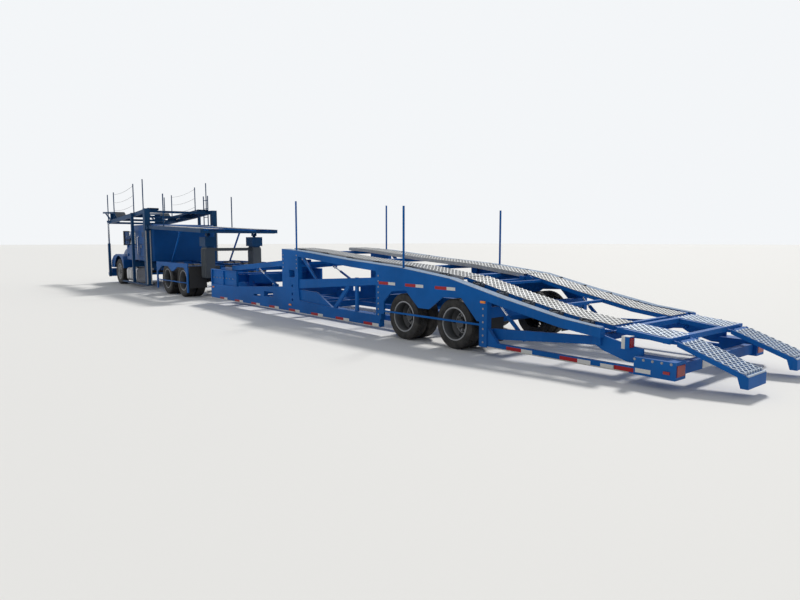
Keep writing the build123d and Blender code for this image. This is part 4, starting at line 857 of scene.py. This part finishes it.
def rounded_ring(station, width, height, reach, rise, radius):
    """Points round a rectangle that stands across the vehicle, its corners rounded"""
    ring = []
    for quarter, (across, up) in enumerate(((1, 1), (-1, 1), (-1, -1), (1, -1))):
        for turn in corner_turns:
            angle = turn + quarter * math.pi / 2
            ring.append(placed(station, width + across * reach + radius * math.cos(angle),
                               height + up * rise + radius * math.sin(angle)))
    return ring


strap_runs = [rounded_ring(station, side * tank_middle, tank_height, 0.130, 0.140, 0.114)
              for side in both for station in (16.98, 17.36, 17.73)]
piping("tank_straps", strap_runs, 0.010, bolt_steel, "tractor", closed=True)
bolts("tank_caps", on_sides([(17.15, 0.99, 0.692)]), 0.045, 0.035, (0, 0, 1), bolt_steel, "tractor")
plates("cab_steps", zinc, "tractor", "galvanised",
       ((0.52, 0.070, 0.020), (17.20, 1.145, 0.30), (17.20, 1.145, 0.62)))
plates("drive_mud_flaps", black_rubber, "tractor", "trim_dark",
       ((0.008, 0.53, 0.62), (11.135, 0.985, 0.60)),
       ((0.085, 0.60, 0.035), (11.150, 0.985, 0.925)))

# Cab: pressed steel, sprayed a fresher blue than the frame, with rubber seals round its glass,
# riveted seams, a locker and vents on its sides, and black plastic mirrors and door handles.
cab_side = 1.100
seam_stations = (15.290, 16.480)
screen_top = (17.200, 2.240)
screen_run = (0.600, -0.580)
screen_long = math.hypot(*screen_run)
screen_way = (screen_run[0] / screen_long, screen_run[1] / screen_long)
cab_blue = worn_finish("cab_blue", wear, paint=(0.005, 0.085, 0.300), chipping=0.15, dust_height=0.8,
                       gloss=0.38, shine=0.10)
coat_nodes(cab_blue, "cab_shell", "door_left", "door_right", "hood")
glass_material, glass_tree, glass_shader = new_material("cab_glass")
smear = remap(glass_tree, noise(glass_tree, object_place(glass_tree), 3.0, 6.0, 0.6), 0.4, 0.8, 0.04, 0.28)
feed(glass_tree, glass_shader, {"Roughness": smear, "Base Color": (0.30, 0.36, 0.40),
                                "Transmission Weight": 0.85})
coat_nodes(glass_material, "windscreen", "door_glass_left", "door_glass_right")
interior_trim = worn_finish("interior_trim", rubber, rubber=(0.045, 0.045, 0.05), amount=0.15)
coat_nodes(interior_trim, "cab_interior")
black_plastic = rubber_like("black_plastic", (0.018, 0.018, 0.020), 0.5)
mirror_glass, mirror_tree, mirror_shader = new_material("mirror_glass")
mirror_haze = remap(mirror_tree, noise(mirror_tree, object_place(mirror_tree), 8.0, 5.0), 0.4, 0.8, 0.03, 0.2)
feed(mirror_tree, mirror_shader, {"Roughness": mirror_haze, "Base Color": (0.75, 0.78, 0.80),
                                  "Metallic": 1.0})
for side_name, side in side_names:
    door = f"door_{side_name}"
    plates(f"mirror_glass_{side_name}", mirror_glass, door, "glass",
           ((0.004, 0.160, 0.290), (17.167, 1.300, 1.895)), ((0.004, 0.160, 0.150), (17.167, 1.300, 1.645)),
           sides=(side,))
    window_seal = [placed(station, side * 1.094, height) for station, height in
                   ((16.782, 1.567), (17.638, 1.567), (17.638, 1.606), (17.165, 2.063), (16.782, 2.063))]
    piping(f"window_seal_{side_name}", [window_seal], 0.009, black_rubber, door, closed=True)
    door_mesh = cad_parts[door].data
    door_mesh.materials.append(black_plastic)
    for face in door_mesh.polygons:
        out, high = abs(face.center.y), face.center.z
        is_mirror, is_handle = out > 1.14, out > 1.105 and 1.44 < high < 1.48
        if is_mirror or is_handle:
            face.material_index = 1
plates("cab_seams", cab_blue, "tractor", "blue_paint",
       ((0.070, 0.005, 1.09), *[(station, cab_side + 0.0015, 1.60) for station in seam_stations]),
       ((1.80, 0.006, 0.022), (15.78, cab_side + 0.002, 1.035)),
       ((2.10, 0.012, 0.014), (15.95, cab_side - 0.002, 2.190)))
for side_name, side in side_names:
    rivets = [placed(station + across, side * (cab_side + 0.0025), 1.12 + 0.09 * step)
              for station in seam_stations for across in (-0.022, 0.022) for step in range(12)]
    bolts(f"cab_rivets_{side_name}", rivets, 0.0045, 0.004, (0, side, 0), cab_blue, "tractor")
locker_runs = [[placed(station, side * (cab_side + 0.0005), height) for station, height in
                ((15.48, 1.13), (16.27, 1.13), (16.27, 1.58), (15.48, 1.58))] for side in both]
piping("locker_seals", locker_runs, 0.008, black_rubber, "tractor", closed=True)
plates("locker_latches", bolt_steel, "tractor", "galvanised",
       ((0.060, 0.020, 0.100), (15.62, cab_side + 0.006, 1.50), (16.13, cab_side + 0.006, 1.50)))
plates("cab_vents", black_plastic, "tractor", "trim_dark",
       ((0.300, 0.016, 0.012), *[(15.87, cab_side + 0.003, 1.86 + 0.030 * step) for step in range(6)]))
handle_runs = [[placed(16.40, side * width, height) for width, height in
                ((cab_side, 1.20), (1.155, 1.23), (1.155, 1.83), (cab_side, 1.86))] for side in both]
piping("grab_handles", handle_runs, 0.013, rod_chrome, "tractor", sides=10)


def on_screen(down, width, out):
    """A place on the windscreen: a distance down its slope, a width and a distance out from it"""
    return placed(screen_top[0] + screen_way[0] * down - screen_way[1] * out, width,
                  screen_top[1] + screen_way[1] * down + screen_way[0] * out)


screen_seal = [on_screen(down, width, 0.0) for down, width in
               ((0.066, -0.954), (0.774, -0.954), (0.774, 0.954), (0.066, 0.954))]
wiper_runs = []
for width in (-0.60, 0.25):
    wiper_runs.append([on_screen(0.80, width, 0.018), on_screen(0.76, width + 0.05, 0.022),
                       on_screen(0.46, width + 0.33, 0.006)])
    wiper_runs.append([on_screen(0.72, width + 0.22, -0.008), on_screen(0.20, width + 0.44, -0.008)])
piping("windscreen_seal", [screen_seal], 0.012, black_rubber, "tractor", closed=True)
piping("wipers", wiper_runs, 0.007, black_rubber, "tractor")
roof_places = [(17.03, width, 2.292) for width in (-0.75, -0.22, 0.0, 0.22, 0.75)]
plates("roof_lamps", amber_lens, "tractor", "lamp_clear", ((0.075, 0.045, 0.030), *roof_places), sides=(1,))

# Front end: fluted glass headlamps in chromed bezels and a chromed surround on the grille, both on
# the hood, and a blue steel bumper with boxed fog lamps, a blank plate and amber side markers.
bumper_height = 0.450
lamp_glass, lamp_glass_tree, lamp_glass_shader = new_material("lamp_glass")
flutes = node(lamp_glass_tree, "ShaderNodeTexWave", {"Vector": object_place(lamp_glass_tree), "Scale": 22.0},
              bands_direction="Y")
feed(lamp_glass_tree, lamp_glass_shader, {
    "Base Color": mixed(lamp_glass_tree, flutes.outputs["Fac"], (0.42, 0.44, 0.46), (0.80, 0.82, 0.84)),
    "Roughness": 0.08, "Coat Weight": 1.0})
coat_nodes(lamp_glass, "headlamps")
bezel_runs = [rounded_ring(19.927, side * 0.960, 0.775, 0.075, 0.040, 0.035) for side in both]
piping("headlamp_bezels", bezel_runs, 0.007, rod_chrome, "hood", closed=True)
grille_run = [placed(20.104, width, height) for width, height in
              ((-0.45, 0.69), (0.45, 0.69), (0.45, 1.18), (-0.45, 1.18))]
piping("grille_surround", [grille_run], 0.010, rod_chrome, "hood", closed=True)
plates("bumper_lamp_boxes", black_plastic, "tractor", "trim_dark",
       ((0.030, 0.200, 0.120), (20.336, 0.650, bumper_height)))
plates("bumper_lamps", lamp_glass, "tractor", "lamp_clear",
       ((0.012, 0.160, 0.085), (20.354, 0.650, bumper_height)))
plates("bumper_plate", white_film, "tractor", "galvanised",
       ((0.010, 0.300, 0.120), (20.352, 0.0, bumper_height)), sides=(1,))
plates("bumper_markers", amber_lens, "tractor", "lamp_clear",
       ((0.090, 0.016, 0.035), (20.050, 1.153, bumper_height)))

# Head rack and posts: dark blue box beams on posts beside the cab, with punched runways as on the
# trailer and three taut steel cables on each side, hooked between the safety rods.
rack_blue = worn_finish("rack_blue", wear, paint=(0.008, 0.060, 0.160), chipping=0.5, dust_height=0.7,
                        gloss=0.5, shine=0.12)
coat_nodes(rack_blue, "rack_posts", "head_rack_frame", "upper_deck_frame")
coat_nodes(rod_chrome, "rack_inner_posts")
rack_line = ((15.32, 2.85), (17.0, 2.74), (18.9, 2.65), (19.15, 2.64), (19.5, 2.86), (21.3, 2.92))
rack_widths = (0.70, 1.08)
rack_pitch = 0.076
# painted shade: the rack's punched sheets are made dark for the shade the rack lies in
rack_sheet_painted_shade = worn_finish("rack_sheet_painted_shade", grain, metal=(0.045, 0.065, 0.095), grime=0.2, gloss=0.65, shine=0.12)
dressed_runway("head_rack_runways", "head_rack_sheet", rack_blue, rack_line, rack_widths, "head_rack",
               rack_sheet_painted_shade, rack_pitch)
# pale strips on the posts' rear edges: partly rubbed metal, partly a painted highlight of sunlit edges
plates("post_edges", rubbed_edge_and_highlight, "tractor", "galvanised",
       ((0.006, 0.034, 1.86), (14.998, 1.277, 1.13), (14.998, 1.133, 1.13)))

cable_steel = worn_finish("cable_steel", grain, metal=(0.16, 0.17, 0.19), grime=0.4, flake=300.0,
                          metallic=0.5)
cable_sag = 0.075
cable_front, cable_length = 19.30, 2.60
cable_width = 1.145
cable_runs = []
for side in both:
    for front_height, rear_height in ((3.54, 3.71), (3.22, 3.36), (2.92, 3.02)):
        cable = []
        for share in [step / 12 for step in range(13)]:
            height = front_height + (rear_height - front_height) * share - 4 * cable_sag * share * (1 - share)
            cable.append(placed(cable_front - cable_length * share, side * cable_width, height))
        cable_runs.append(cable)
piping("rack_cables", cable_runs, 0.005, cable_steel, "head_rack", sides=6)

# Upper deck over the drive axles: zinc sheets on blue runways in dark blue beams, hinged in front
# and carried behind by two telescoping legs that slide in grey sleeves.
dressed_runway("upper_deck_runways", "upper_deck_sheet", blue, upper_line, runway_widths, "upper_deck", zinc)
sleeve_grey = worn_finish("sleeve_grey", wear, paint=(0.085, 0.10, 0.115), chipping=0.6, dust_height=1.5,
                          gloss=0.55, shine=0.2)
coat_nodes(sleeve_grey, "leg_sleeves")
coat_nodes(rack_blue, "deck_legs")

bpy.data.objects.remove(tile)
